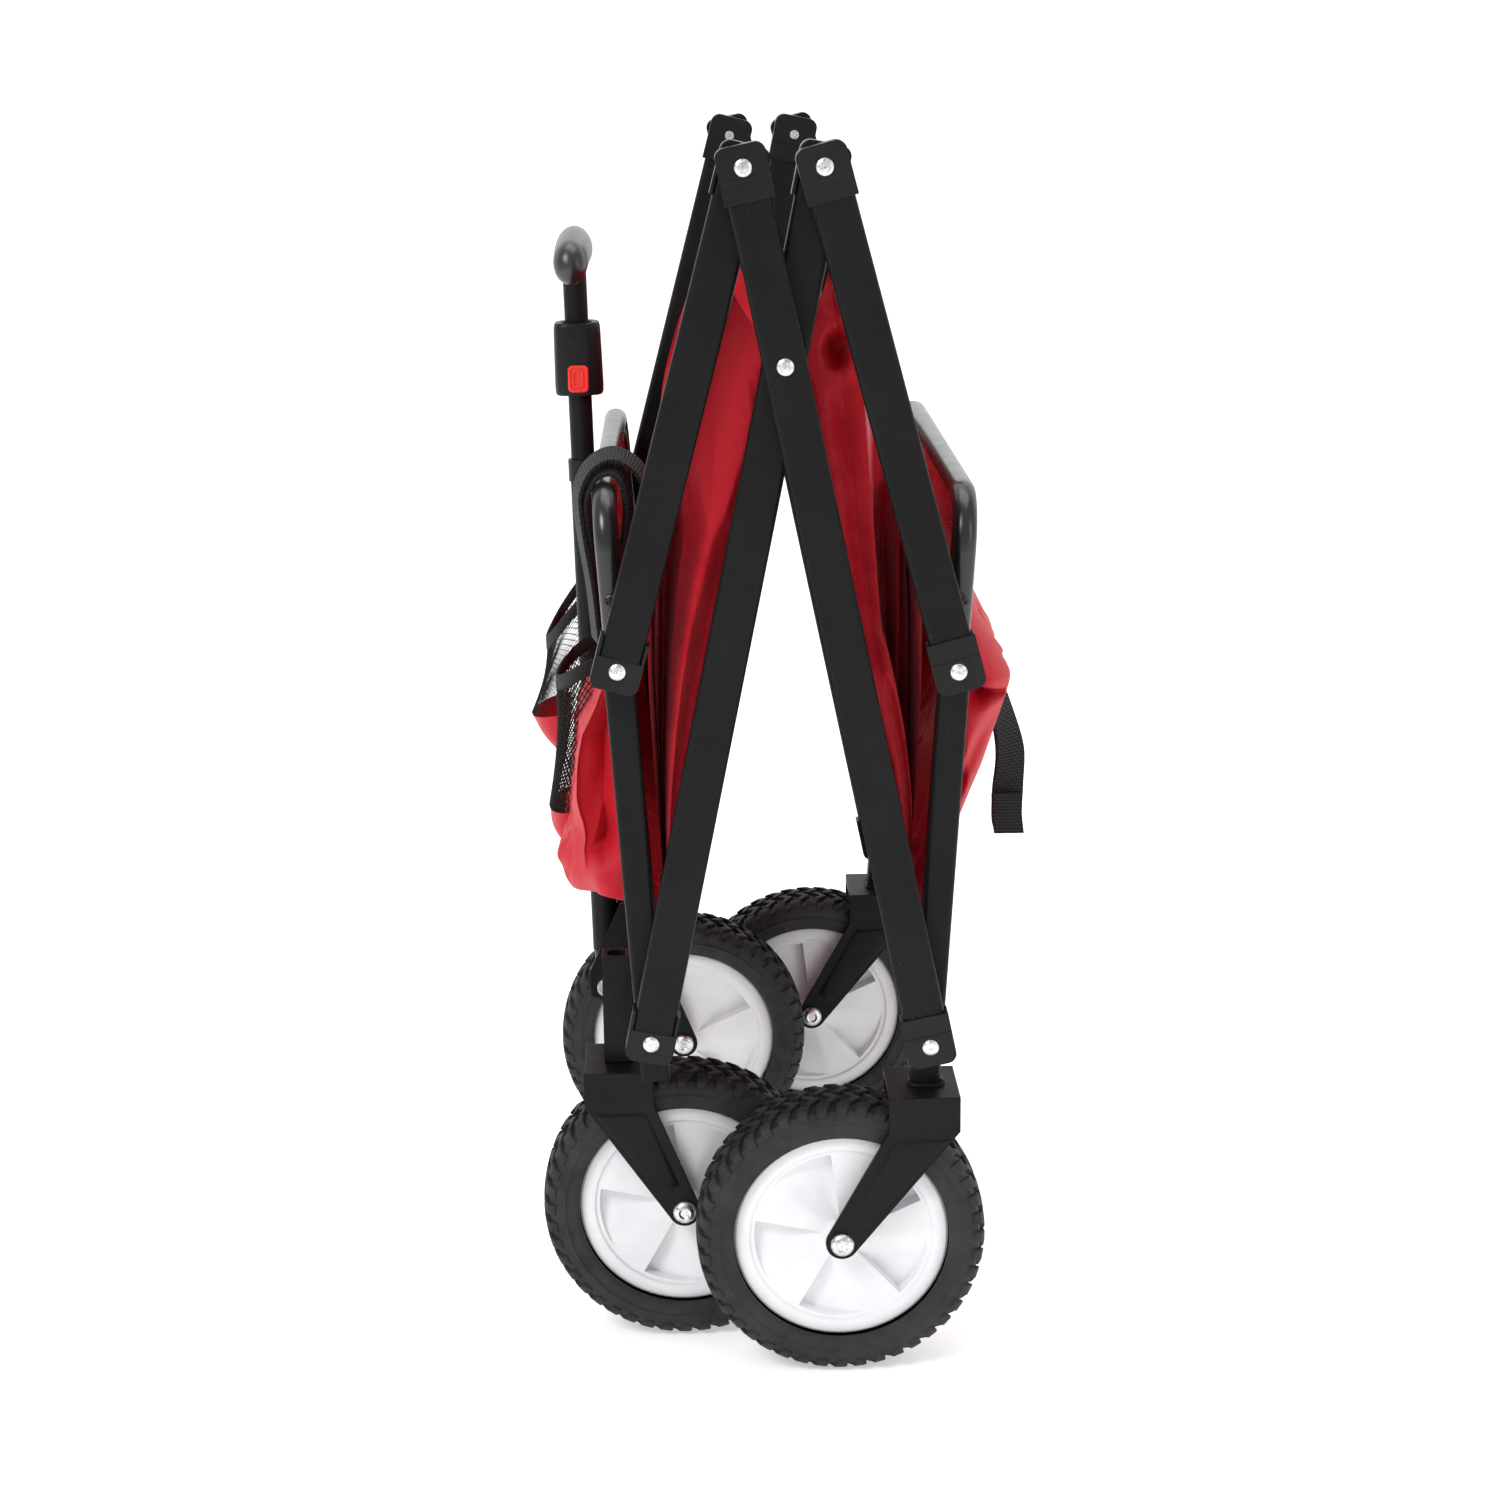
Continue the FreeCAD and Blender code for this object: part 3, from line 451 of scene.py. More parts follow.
def tyre_mesh(radius):
    """The carcass, with its bead ring, and rows of arrow lugs and shoulder lugs."""
    side = [(17.0, 66.0), (19.4, 66.3), (20.4, 67.6), (20.7, 70.0), (20.7, 73.6), (20.9, 74.2), (21.35, 74.6),
            (21.35, 75.4), (20.9, 75.9), (20.7, 76.6), (20.7, 79.2), (20.1, 81.6), (18.6, 83.8), (15.0, 85.1),
            (8.0, 85.9)]
    profile = [(-y * MM, r * MM) for y, r in side] + [(0, 86.1 * MM)]
    profile += [(y * MM, r * MM) for y, r in reversed(side)]
    points, faces = lathe(profile, 180)

    def crown(y):
        """The tread's height across the tyre: slightly domed."""
        return radius - 0.0016 * (abs(y) / 0.019) ** 2.4

    pitches = 44
    pitch = 2 * math.pi * radius / pitches
    for k in range(pitches):
        start = k * pitch
        lugs = []
        for row, shift in ((-1, 0.0), (1, 0.5)):
            stations = []
            for part in range(7):
                off = (part / 6 - 0.5) * 0.0128
                y = row * 0.0068 + off
                lead = start + shift * pitch + abs(off) * 1.05
                wide = 0.0058 - abs(off) * 0.22
                stations.append(((y, crown(y)), (y, crown(y) - 0.0032), lead, lead + wide))
            lugs.append(stations)
        for row, shift in ((-1, 0.52), (1, 0.02)):
            stations = []
            for y, r, foot_y, foot_r, slant in ((14.2, 88.2, 14.2, 84.8, 0.0), (17.2, 87.3, 17.0, 84.0, 1.2),
                                                (19.6, 85.8, 18.6, 83.2, 2.2), (20.9, 83.6, 19.6, 82.0, 2.6),
                                                (21.15, 81.4, 20.2, 80.6, 2.8)):
                lead = start + shift * pitch + slant * MM
                wide = 0.0086 - slant * 0.0006
                stations.append(((row * y * MM, r * MM), (row * foot_y * MM, foot_r * MM), lead, lead + wide))
            lugs.append(stations if row > 0 else stations[::-1])
        for stations in lugs:
            more, more_faces = tread_block(stations, radius)
            faces += [tuple(v + len(points) for v in face) for face in more_faces]
            points += more
    return points, faces


def rim_mesh(sign):
    """One face of the disc: hub, five ramped recesses like a pinwheel, and the outer lip."""
    first, pitch, span = 25, 72, 44
    deepest, hub_edge, recess_end = 8.5, 12.6, 53
    section = [(4.9, 21.3), (8.6, 21.3), (9.6, 20.8), (10.2, 17.5), (11.4, 14.6), (12.6, 14.2), (16, 14.0),
               (22, 13.9), (30, 13.7), (40, 13.6), (49, 13.5), (52.6, 13.4), (53.4, 13.4), (55.6, 13.6),
               (56.6, 14.9), (58.4, 15.3), (59.4, 15.3), (62.6, 15.0), (64.4, 14.6), (65.8, 13.4), (65.9, 9.0)]
    turns = []
    for blade in range(5):
        start = first + pitch * blade
        turns += [start - 0.5, start] + [start + span * part / 10 for part in range(1, 11)]
        turns += [start + span + (27.5 * part / 6) for part in range(1, 6)]
    points = []
    for turn in turns:
        into = (turn - first) % pitch
        for r, level in section:
            deep = 0.0
            if into <= span and hub_edge < r < recess_end:
                deep = deepest * (1 - into / span) * min(1.0, (r - hub_edge) / 14)
            angle = math.radians(turn)
            points.append((r * MM * math.cos(angle), sign * (level - deep) * MM, r * MM * math.sin(angle)))
    return points, grid_faces(len(turns), len(section), closed_rows=True)


def build_wheels():
    """Tyres, two-faced rims and axle nuts in place of the plain CAD wheels."""
    tyre_points, tyre_faces = tyre_mesh(0.089)
    nut_section = ((0.0260, 0.0072), (0.0276, 0.0074), (0.0288, 0.0068), (0.0300, 0.0055), (0.0306, 0.0038),
                   (0.0302, 0.0030), (0.0298, 0.0026), (0.0298, 0.0))
    for end, _ in ENDS:
        for side, way in SIDES:
            body = f"{end}_wheel_{side}"
            low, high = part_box(f"tyre_{end}_{side}")
            hub = (low + high) / 2
            made = piece(f"tread_{end}_{side}", moved(tyre_points, hub), tyre_faces, "tyre", body)
            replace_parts(sharp(made, 32), f"tyre_{end}_{side}")
            points, faces = [], []
            for sign in (-1, 1):
                more, more_faces = rim_mesh(sign)
                faces += [tuple(v + len(points) for v in face) for face in more_faces]
                points += more
            disc = piece(f"disc_{end}_{side}", moved(points, hub), faces, "white_plastic", body)
            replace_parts(sharp(disc, 28), f"rim_{end}_{side}")
            carrier = f"caster_{side}" if end == "front" else "rear_frame"
            for face in (-1, 1):
                ring, ring_faces = lathe([(face * y, r) for y, r in nut_section], 40)
                name = f"nut_{end}_{side}_{'outer' if face == way else 'inner'}"
                sharp(piece(name, moved(ring, hub), ring_faces, "zinc", carrier), 40)


# ---------------------------------------------------------------- forks and welds

def raised_panel(name, outline, y, out, rise, body):
    """A pressed panel: an outline in the side view raised off a leg with a sloped border."""
    middle = Vector((sum(p[0] for p in outline) / len(outline), 0, sum(p[1] for p in outline) / len(outline)))
    points = []
    for inset, height in ((0.0, 0.0), (0.06, 0.35), (0.14, 0.9), (0.20, 1.0)):
        for x, z in outline:
            points.append((x + (middle.x - x) * inset, y + out * rise * height,
                           z + (middle.z - z) * inset * 0.5))
    count = len(outline)
    faces = wall_faces(4, count)
    faces.append(tuple(range(3 * count, 4 * count)))
    sharp(piece(name, points, faces, "black_frame", body), 50)


def weld_bead(name, centre, half_x, half_y, body, seed):
    """A lumpy weld round a rectangular foot."""
    ring = []
    for k in range(96):
        turn = 2 * math.pi * k / 96
        c, s = math.cos(turn), math.sin(turn)
        x = half_x * math.copysign(abs(c) ** 0.35, c)
        y = half_y * math.copysign(abs(s) ** 0.35, s)
        ring.append((x, y))
    points = []
    for k, (x, y) in enumerate(ring):
        swell = 0.0019 + 0.0007 * noise.noise((k * 0.45, seed, 0))
        out = Vector((x, y, 0)).normalized()
        for part in range(6):
            angle = math.pi * part / 5
            flat = swell * math.cos(angle)
            points.append((centre[0] + x + out.x * flat, centre[1] + y + out.y * flat,
                           centre[2] + swell * math.sin(angle)))
    piece(name, points, grid_faces(96, 6, closed_rows=True), "black_frame", body)


def build_forks():
    """Pressed panels on the fork legs, and the welds of the rear forks."""
    half_head, half_foot, hub_gap, leg_face = 0.0165, 0.0062, 0.017, 0.026
    half_tube_x, half_tube_y, rear_track = 0.0096, 0.0086, 0.194
    for end, _ in ENDS:
        for side, way in SIDES:
            low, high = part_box(f"tyre_{end}_{side}")
            hub = (low + high) / 2
            top = 0.182 if end == "front" else 0.183
            head_x = -0.105 if end == "front" else 0.0802
            body = f"caster_{side}" if end == "front" else "rear_frame"
            along = Vector((hub.x - head_x, 0, hub.z - (top - 0.022))).normalized()
            cross = Vector((-along.z, 0, along.x)) * (1 if along.z < 0 else -1)
            foot = Vector((hub.x, 0, hub.z)) - along * hub_gap
            outline = [(head_x - half_head, top - 0.0265), (head_x + half_head, top - 0.0265),
                       (foot.x + cross.x * half_foot, foot.z + cross.z * half_foot),
                       (foot.x - cross.x * half_foot, foot.z - cross.z * half_foot)]
            for face in (-1, 1):
                place = "outer" if face == way else "inner"
                raised_panel(f"fork_panel_{end}_{side}_{place}", outline, hub.y + face * leg_face, face,
                             0.0014, body)
            if end == "rear":
                low_post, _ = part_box(f"rear_post_{side}")
                centre = (low_post.x + 0.0098, way * rear_track, top + 0.0004)
                weld_bead(f"weld_rear_{side}", centre, half_tube_x, half_tube_y, body, way)


# ---------------------------------------------------------------- handle

def build_button():
    """A pressed button with two raised rounded frames on its face."""
    low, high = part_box("release_button")
    middle = (low + high) / 2
    face = low.y

    def loop(half_x, half_z, corner, y):
        made = []
        for quarter, (sx, sz) in enumerate(((1, 1), (-1, 1), (-1, -1), (1, -1))):
            for part in range(6):
                turn = math.pi / 2 * (quarter + part / 5)
                made.append((middle.x + sx * (half_x - corner) + corner * math.cos(turn), y,
                             middle.z + sz * (half_z - corner) + corner * math.sin(turn)))
        return made

    levels = [(0.0, 0.0040), (0.0, 0.0006), (0.0006, 0.0), (0.0018, 0.0), (0.0021, 0.0005), (0.0028, 0.0005),
              (0.0031, 0.0), (0.0040, 0.0), (0.0043, 0.0005), (0.0050, 0.0005)]
    half_x, half_z = (high.x - low.x) / 2 - 0.0001, (high.z - low.z) / 2 - 0.0001
    points = []
    for inset, deep in levels:
        corner = max(0.0004, 0.0030 - inset * 0.5)
        points += loop(half_x - inset, half_z - inset, corner, face + deep)
    faces = grid_faces(len(levels), 24, closed_columns=True)
    faces.append(tuple(range((len(levels) - 1) * 24, len(levels) * 24)))
    button = piece("button_face", points, faces, "red_plastic", "button")
    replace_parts(sharp(button, 30), "release_button")


def build_collar():
    """The release housing: a rounded oblong, slightly flared, with softened rims."""
    low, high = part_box("handle_collar")
    lean = math.radians(-1.1)
    axis = Vector((math.sin(lean), 0, math.cos(lean)))
    side = Vector((math.cos(lean), 0, -math.sin(lean)))
    foot = Vector(((low.x + high.x) / 2, 0, low.z + 0.0003))
    foot.x += (high.z - low.z) / 2 * math.tan(-lean)
    half_x, half_y, squareness = 0.0154, 0.0134, 0.62
    points = []
    stages = [(0.0, 0.74), (0.0, 0.93), (0.0007, 0.975), (0.0020, 0.992), (0.006, 1.0), (0.022, 0.985),
              (0.038, 0.965), (0.0425, 0.955), (0.0448, 0.925), (0.0456, 0.88), (0.0458, 0.80), (0.0450, 0.62)]
    for height, share in stages:
        for k in range(64):
            turn = 2 * math.pi * k / 64
            c, s = math.cos(turn), math.sin(turn)
            x = half_x * share * math.copysign(abs(c) ** squareness, c)
            y = half_y * share * math.copysign(abs(s) ** squareness, s)
            points.append(foot + axis * height + side * x + Vector((0, y, 0)))
    faces = grid_faces(len(stages), 64, closed_columns=True)
    housing = piece("release_housing", points, faces, "black_plastic", "handle_top")
    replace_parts(sharp(housing, 60), "handle_collar")


def build_grip():
    """The cross grip: fuller and a little higher in the middle, with smaller rounded ends."""
    low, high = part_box("handle_grip")
    centre = (low + high) / 2
    half = (high.y - low.y) / 2
    points = []
    stations = [-1.0, -0.995, -0.98, -0.955, -0.92, -0.86, -0.76, -0.6, -0.4, -0.2, 0.0]
    stations += [-at for at in reversed(stations[:-1])]
    for at in stations:
        far = abs(at)
        round_off = max(0.02, 1 - max(0.0, (far - 0.80) / 0.2) ** 2.4) ** 0.5
        bend = far ** 2
        wide = (0.0112 - 0.0010 * bend) * round_off
        tall = (0.0150 - 0.0026 * bend) * round_off
        for k in range(48):
            turn = 2 * math.pi * k / 48
            points.append((centre.x + wide * math.cos(turn), centre.y + half * at,
                           centre.z + 0.0020 - 0.0046 * bend + tall * math.sin(turn)))
    faces = capped_faces(len(stations), 48)
    grip = piece("grip_sleeve", points, faces, "rubber_grip", "handle_top")
    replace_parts(sharp(grip, 50), "handle_grip")


def build_screws():
    """Domed cross-head screws in the rail's legs."""
    head, slot_half, slot_reach, slot_deep = 5.0, 0.62, 2.7, 1.1
    rings = [head, 4.95, 4.6, 3.9, 3.2, 2.6, 2.1, 1.6, 1.1, 0.6, 0.15]
    for end, _ in ENDS:
        low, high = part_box(f"{end}_rail_screws")
        middle = (low + high) / 2
        for side, way in SIDES:
            face = high.y if way > 0 else low.y
            points = []
            for r in rings:
                for k in range(64):
                    turn = 2 * math.pi * k / 64
                    x, z = r * math.cos(turn), r * math.sin(turn)
                    rise = -0.8 if r == head else 1.5 * math.sqrt(max(0.0, 1 - (r / 5.05) ** 2))
                    if min(abs(x), abs(z)) < slot_half and max(abs(x), abs(z)) < slot_reach:
                        rise -= slot_deep
                    points.append((middle.x + x / 1000, face + way * rise / 1000, middle.z + z / 1000))
            faces = grid_faces(len(rings), 64, closed_columns=True)
            screw = piece(f"rail_screw_head_{end}_{side}", points, faces, "screw", f"{end}_frame")
            sharp(screw, 40)


# ---------------------------------------------------------------- cloth

def wrinkle(x, y, z, scale, seed):
    """Soft fractal noise about zero."""
    return noise.fractal((x * scale, y * scale, z * scale + seed), 0.8, 2.1, 4)


def ridge(distance, width):
    """A fold with a rounded crest and slack sides."""
    return math.exp(-(distance / width) ** 2)


def crease(distance, width):
    """A sharp fold line."""
    return max(0.0, 1.0 - abs(distance) / width) ** 1.5


def step(value, low, high):
    """Rises smoothly from 0 to 1 between two values."""
    t = min(1.0, max(0.0, (value - low) / (high - low)))
    return t * t * (3 - 2 * t)


def cloth(name, rows, columns, place, flat, body=None):
    """A cloth sheet from place(u, v), its UV in metres over the flat cut."""
    points, uv = [], []
    for i in range(rows):
        for j in range(columns):
            u, v = i / (rows - 1), j / (columns - 1)
            points.append(place(u, v))
            uv.append((u * flat[0], v * flat[1]))
    made = piece(name, points, grid_faces(rows, columns), "red_cloth", body, uv)
    return made


# Side walls: where the fan starts, off upright, and how many degrees it spans folded and standing open; how
# far out it stands beside the post and elsewhere, and the most that a fold may add before it meets the arms.
FAN_START, FAN_FOLDED, FAN_OPEN = -3.7, 15.2, 93.9
POST_FACE, FAN_FACE, FOLD_LIMIT = 0.1705, 0.1735, 0.0135
HIDDEN_PLEATS = 3


def wall_reach(angle):
    """How far an open side wall reaches from the board's hinge, at an angle off upright."""
    high, low, long = WALL
    slope = (high - low) / long
    top = high / (math.cos(angle) + slope * math.sin(angle))
    if angle <= 0.01:
        return top
    return min(top, long / math.sin(angle))


def side_fan(end, way, end_name, side_name):
    """One half of a side wall, gathered like a fan between the post and the floor board."""
    def shape(u, v):
        """Folded and open angle of a point, and its distance from the hinge."""
        slump = 4.0 * (1 - step(u, 0.0, 0.40)) * v ** 4
        if end < 0:
            slump -= 2.4 * ridge(u - 0.55, 0.20) * v ** 3
        rest = math.radians(FAN_START + FAN_FOLDED * u ** 1.3 + slump)
        spread = math.radians(FAN_START + FAN_OPEN * u)
        return rest, spread, wall_reach(spread) * (0.01 + 0.99 * v)

    def pleats(depth, phase, far, v):
        """Gathered cloth hidden behind the arms: deep in the middle, shallow at the hem."""
        depth = depth * min(1.0, far / 0.14) * (1 - 0.85 * step(v, 0.72, 1.0))
        return depth * (1 - math.cos(2 * math.pi * HIDDEN_PLEATS * phase)) / 2

    def place(u, v):
        rest, _, far = shape(u, v)
        x = -HINGE_X + far * math.sin(rest)
        z = HINGE_Z + far * math.cos(rest)
        loose = math.sin(math.pi * min(1.0, u * 1.02)) ** 0.6
        out = 0.0
        if end < 0:
            crest = 0.75 - 1.9 * (0.53 - z) if z < 0.53 else 0.75
            low = 1 - step(z, 0.47, 0.60)
            out += 0.013 * ridge(u - crest, 0.085 + 0.10 * (1 - low)) * min(1.0, far / 0.08)
            out -= 0.048 * low * ridge(u - (crest - 0.27), 0.15)
            out -= 0.010 * low * step(u, crest + 0.04, crest + 0.26)
            out += 0.007 * (1 - low) * step(u, 0.30, 0.55)
            out -= 0.007 * crease((z - 0.632) + 1.1 * (x + 0.040), 0.020) * ridge(u - 0.6, 0.3)
            out += 0.005 * crease((x + 0.060) - 0.30 * (z - 0.56), 0.010) * step(z, 0.50, 0.56)
            behind = min(1.0, max(0.0, u - 0.04) / max(0.05, crest - 0.16)) if u < crest - 0.12 else 0.0
            out -= pleats(0.031, behind, far, v)
        else:
            edge = 0.60 if z > 0.46 else max(0.0, 0.60 - 4.0 * (0.46 - z))
            low = 1 - step(z, 0.50, 0.58)
            inside = 1 - step(u, edge - 0.045, edge + 0.02)
            out += 0.012 * (1 - inside) * (0.75 + 0.25 * math.cos(26 * (u - edge)))
            out -= inside * (0.014 + 0.036 * low)
            out += 0.012 * inside * crease(u - edge * 0.55 - 0.10 * (0.62 - z), 0.09)
            out += 0.010 * inside * crease((z - 0.545) + 0.9 * (x + 0.058), 0.018)
            out += 0.006 * (1 - inside) * crease((z - 0.437) + 0.55 * (x + 0.062), 0.020)
            out -= inside * pleats(0.029, u / 0.56, far, v)
            ring = math.hypot((x + 0.031) * 1.15, z - 0.627)
            out += 0.013 * ridge(ring - 0.0165, 0.0055) - 0.018 * ridge(ring, 0.0095)
        out += loose * 0.0035 * wrinkle(x, way * 0.3, z, 26, end * 3.1 + way)
        out += loose * 0.0012 * wrinkle(x, way * 0.3, z, 90, 7.7 + way)
        out = min(out, FOLD_LIMIT)
        base = POST_FACE if u < 0.12 else FAN_FACE
        return (-end * x if end > 0 else x, way * (base + out * min(1.0, u * 9)), z)

    rows, columns = 110, 130
    made = cloth(f"side_wall_{end_name}_{side_name}", rows, columns, place, (WALL[2], WALL[0]))
    for i in range(rows):
        for j in range(columns):
            rest, spread, _ = shape(i / (rows - 1), j / (columns - 1))
    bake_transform(made)


def post_x(end, z):
    """Where the axis of a leaning post stands at a height."""
    return end * (FOOT_X + math.tan(LEAN) * (z - FOOT_Z))


# Height and bulge past the posts, from the rail down to the floor, of each end wall.
FRONT_BAG = [(0.542, 0.001), (0.52, 0.002), (0.48, 0.004), (0.445, 0.007), (0.432, 0.0095), (0.410, 0.018),
             (0.393, 0.026), (0.360, 0.031), (0.338, 0.038), (0.318, 0.0465), (0.2965, 0.0495),
             (0.2885, 0.0465), (0.2862, 0.028), (0.284, 0.002), (0.272, -0.012)]
REAR_BAG = [(0.548, 0.003), (0.51, 0.005), (0.480, 0.012), (0.462, 0.021), (0.4465, 0.033), (0.4265, 0.045),
            (0.4200, 0.0445), (0.4034, 0.040), (0.370, 0.030), (0.340, 0.018), (0.315, 0.006), (0.290, -0.006),
            (0.270, -0.013)]


def bag_profile(table, v):
    """Height and bulge at a share of the way down an end wall."""
    steps = [0.0]
    for (za, ba), (zb, bb) in zip(table, table[1:]):
        steps.append(steps[-1] + math.hypot(zb - za, bb - ba))
    at = v * steps[-1]
    heights, bulges = zip(*table)
    return float(np.interp(at, steps, heights)), float(np.interp(at, steps, bulges))


def end_bag(end, end_name):
    """The end wall: one sheet from post to post that has slumped outwards into a bag."""
    table = FRONT_BAG if end < 0 else REAR_BAG

    def place(u, v):
        z, bulge = bag_profile(table, v)
        turn = math.pi * u
        c, s = math.cos(turn), math.sin(turn)
        along = math.copysign(abs(c) ** 0.36, c)
        shape = max(0.0, s) ** 0.42
        side = max(0.0, abs(c) - 0.70) / 0.30
        along_side = min(1.0, shape / 0.868) if side else 1.0
        y = -POST_FACE * along
        if end > 0:
            y *= 1.0 + 0.035 * shape * side
            bulge *= 0.86 + 0.14 * ridge(abs(c) - 0.66, 0.22)
        else:
            bulge *= 1 - 0.24 * ridge(abs(c) - 0.78, 0.30) * (1 - step(z, 0.325, 0.36))
            bulge += 0.008 * (1 - side) * ridge(z - 0.368, 0.040)
            bulge -= max(0.0, bulge - 0.0105) * math.exp(-(y / 0.030) ** 4)
        x = post_x(end, z) + end * (bulge * shape - 0.004 * (1 - shape))
        way = -1 if c > 0 else 1
        fold = 0.0
        if end < 0:
            slant = 0.036 * (1 - along_side)
            sink = (1 - along_side) ** 0.65
            fold -= 0.062 * sink * step(z, 0.296 + 0.5 * slant, 0.318 + slant) * (1 - step(z, 0.405, 0.450))
            fold += 0.006 * side * crease((z - 0.365) + 0.10 * (along_side - 0.5), 0.030)
        else:
            hollow = math.sin(math.pi * along_side) ** 0.7 if side else 0.0
            fold -= 0.030 * hollow * ridge(z - 0.4160 - 0.005 * (1 - along_side), 0.0075 * (1.25 - along_side))
            fold += 0.005 * side * crease((z - 0.395) + 0.10 * (along_side - 0.5), 0.030)
            fold -= 0.010 * hollow * ridge((z - 0.352) - 0.10 * (along_side - 0.5), 0.018)
        fold += side * 0.0025 * wrinkle(x, way * 0.2, z, 30, 5.0 + way)
        mid = (1 - side) * step(0.66 - abs(c), 0.0, 0.25)
        calm = 1 - math.exp(-(y / 0.036) ** 4) if end < 0 else 1.0
        sway = 0.0045 * wrinkle(y, z, 0.4, 16, 2.2) + 0.003 * wrinkle(y, z, 0.1, 42, 4.4)
        below_hem = min(1, v * 6)
        x += end * mid * calm * below_hem * sway
        pinned = min(1.0, 12 * u, 12 * (1 - u))
        lift = 0.0
        if end < 0:
            lift = 0.008 * min(1.0, max(0.0, (abs(c) - 0.35) / 0.45)) * (1 - step(z, 0.286, 0.345))
        return (x, y + way * fold * pinned, z + lift + 0.003 * mid * wrinkle(y, z, 0.9, 20, 9.1) * below_hem)

    width, length = (0.46 if end < 0 else 0.44), 0.33
    return cloth(f"{end_name}_wall", 220, 120, place, (width, length),
                 body=f"{end_name}_frame")


def ribbon(name, path, width, body, thick, across):
    """A woven tape along points; across gives its width direction at each point, on what it hangs from."""
    section = ((-1, 0), (-0.97, 0.5), (-0.6, 0.5), (0, 0.55), (0.6, 0.5), (0.97, 0.5), (1, 0), (0.97, -0.5),
               (0.6, -0.5), (0, -0.55), (-0.6, -0.5), (-0.97, -0.5))
    line = [Vector(p) for p in path]
    fine, fine_across = [], []
    for k in range(len(line) - 1):
        before, after = line[max(0, k - 1)], line[min(len(line) - 1, k + 2)]
        for part in range(8):
            t = part / 8
            a, b = line[k], line[k + 1]
            fine.append(0.5 * ((2 * a) + (b - before) * t + (2 * before - 5 * a + 4 * b - after) * t * t
                               + (3 * a - before - 3 * b + after) * t ** 3))
            fine_across.append(Vector(across[k]).lerp(Vector(across[k + 1]), t).normalized())
    fine.append(line[-1])
    fine_across.append(Vector(across[-1]).normalized())
    points, uv, run = [], [], 0.0
    for k, (place, wide) in enumerate(zip(fine, fine_across)):
        if k:
            run += (place - fine[k - 1]).length
        ahead = (fine[min(k + 1, len(fine) - 1)] - fine[max(k - 1, 0)]).normalized()
        out = ahead.cross(wide).normalized()
        half = width / 2
        for share, lift in section:
            points.append(place + wide * share * half + out * lift * thick)
            uv.append((share * half, run))
    made = piece(name, points, capped_faces(len(fine), len(section)), "webbing", body, uv)
    sharp(made, 60)


def tilted(line, share):
    """Width directions for a tape along (x, z) points: mostly across the wagon, tipped a little outwards."""
    widths = []
    for k in range(len(line)):
        (xa, za), (xb, zb) = line[max(0, k - 1)], line[min(len(line) - 1, k + 1)]
        long = math.hypot(xb - xa, zb - za)
        widths.append((-(zb - za) / long * share, 1.0, (xb - xa) / long * share))
    return widths


def build_tapes():
    """The two strands of the carry loop on the front rail, and the closure tape with its hem behind."""
    y = -0.150
    outer = [(-0.112, 0.452), (-0.115, 0.485), (-0.1195, 0.515), (-0.1215, 0.538), (-0.117, 0.552),
             (-0.109, 0.5600), (-0.100, 0.5625), (-0.091, 0.559), (-0.084, 0.552), (-0.080, 0.540),
             (-0.081, 0.520), (-0.085, 0.500)]
    path = [(x, y + 0.0015 * k, z) for k, (x, z) in enumerate(outer)]
    ribbon("carry_loop_outer", path, 0.024, "front_frame", thick=0.0022, across=tilted(outer, 0.20))
    inner = [(-0.1160, 0.510), (-0.1180, 0.534), (-0.1125, 0.549), (-0.105, 0.5545), (-0.097, 0.553),
             (-0.0925, 0.544), (-0.0915, 0.527), (-0.095, 0.505), (-0.099, 0.487)]
    path = [(x, y + 0.004, z) for x, z in inner]
    ribbon("carry_loop_inner", path, 0.022, "front_frame", thick=0.0022, across=tilted(inner, 0.20))
    strap = [(0.124, -0.050, 0.428), (0.1365, -0.048, 0.402), (0.1445, -0.045, 0.375), (0.1500, -0.043, 0.350),
             (0.1490, -0.042, 0.325), (0.1485, -0.043, 0.305), (0.1500, -0.044, 0.296)]
    twist = [(0.0, 1, 0), (0.35, 1, 0.1), (0.8, 0.9, 0.15), (1, 0.55, 0.05), (1, 0.30, 0), (1, 0.35, -0.1),
             (1, 0.4, -0.2)]
    ribbon("closure_tape", strap, 0.0215, "rear_frame", thick=0.0030, across=twist)
    hem = [(0.1478, -0.0462, 0.322), (0.1482, -0.0468, 0.308), (0.1496, -0.0476, 0.2955)]
    ribbon("closure_tape_hem", hem, 0.0208, "rear_frame", thick=0.0032, across=[(1, 0.32, -0.1)] * 3)
    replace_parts(bpy.data.objects["carry_loop_outer"], "webbing_loop")
    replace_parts(bpy.data.objects["closure_tape"], "closure_strap")


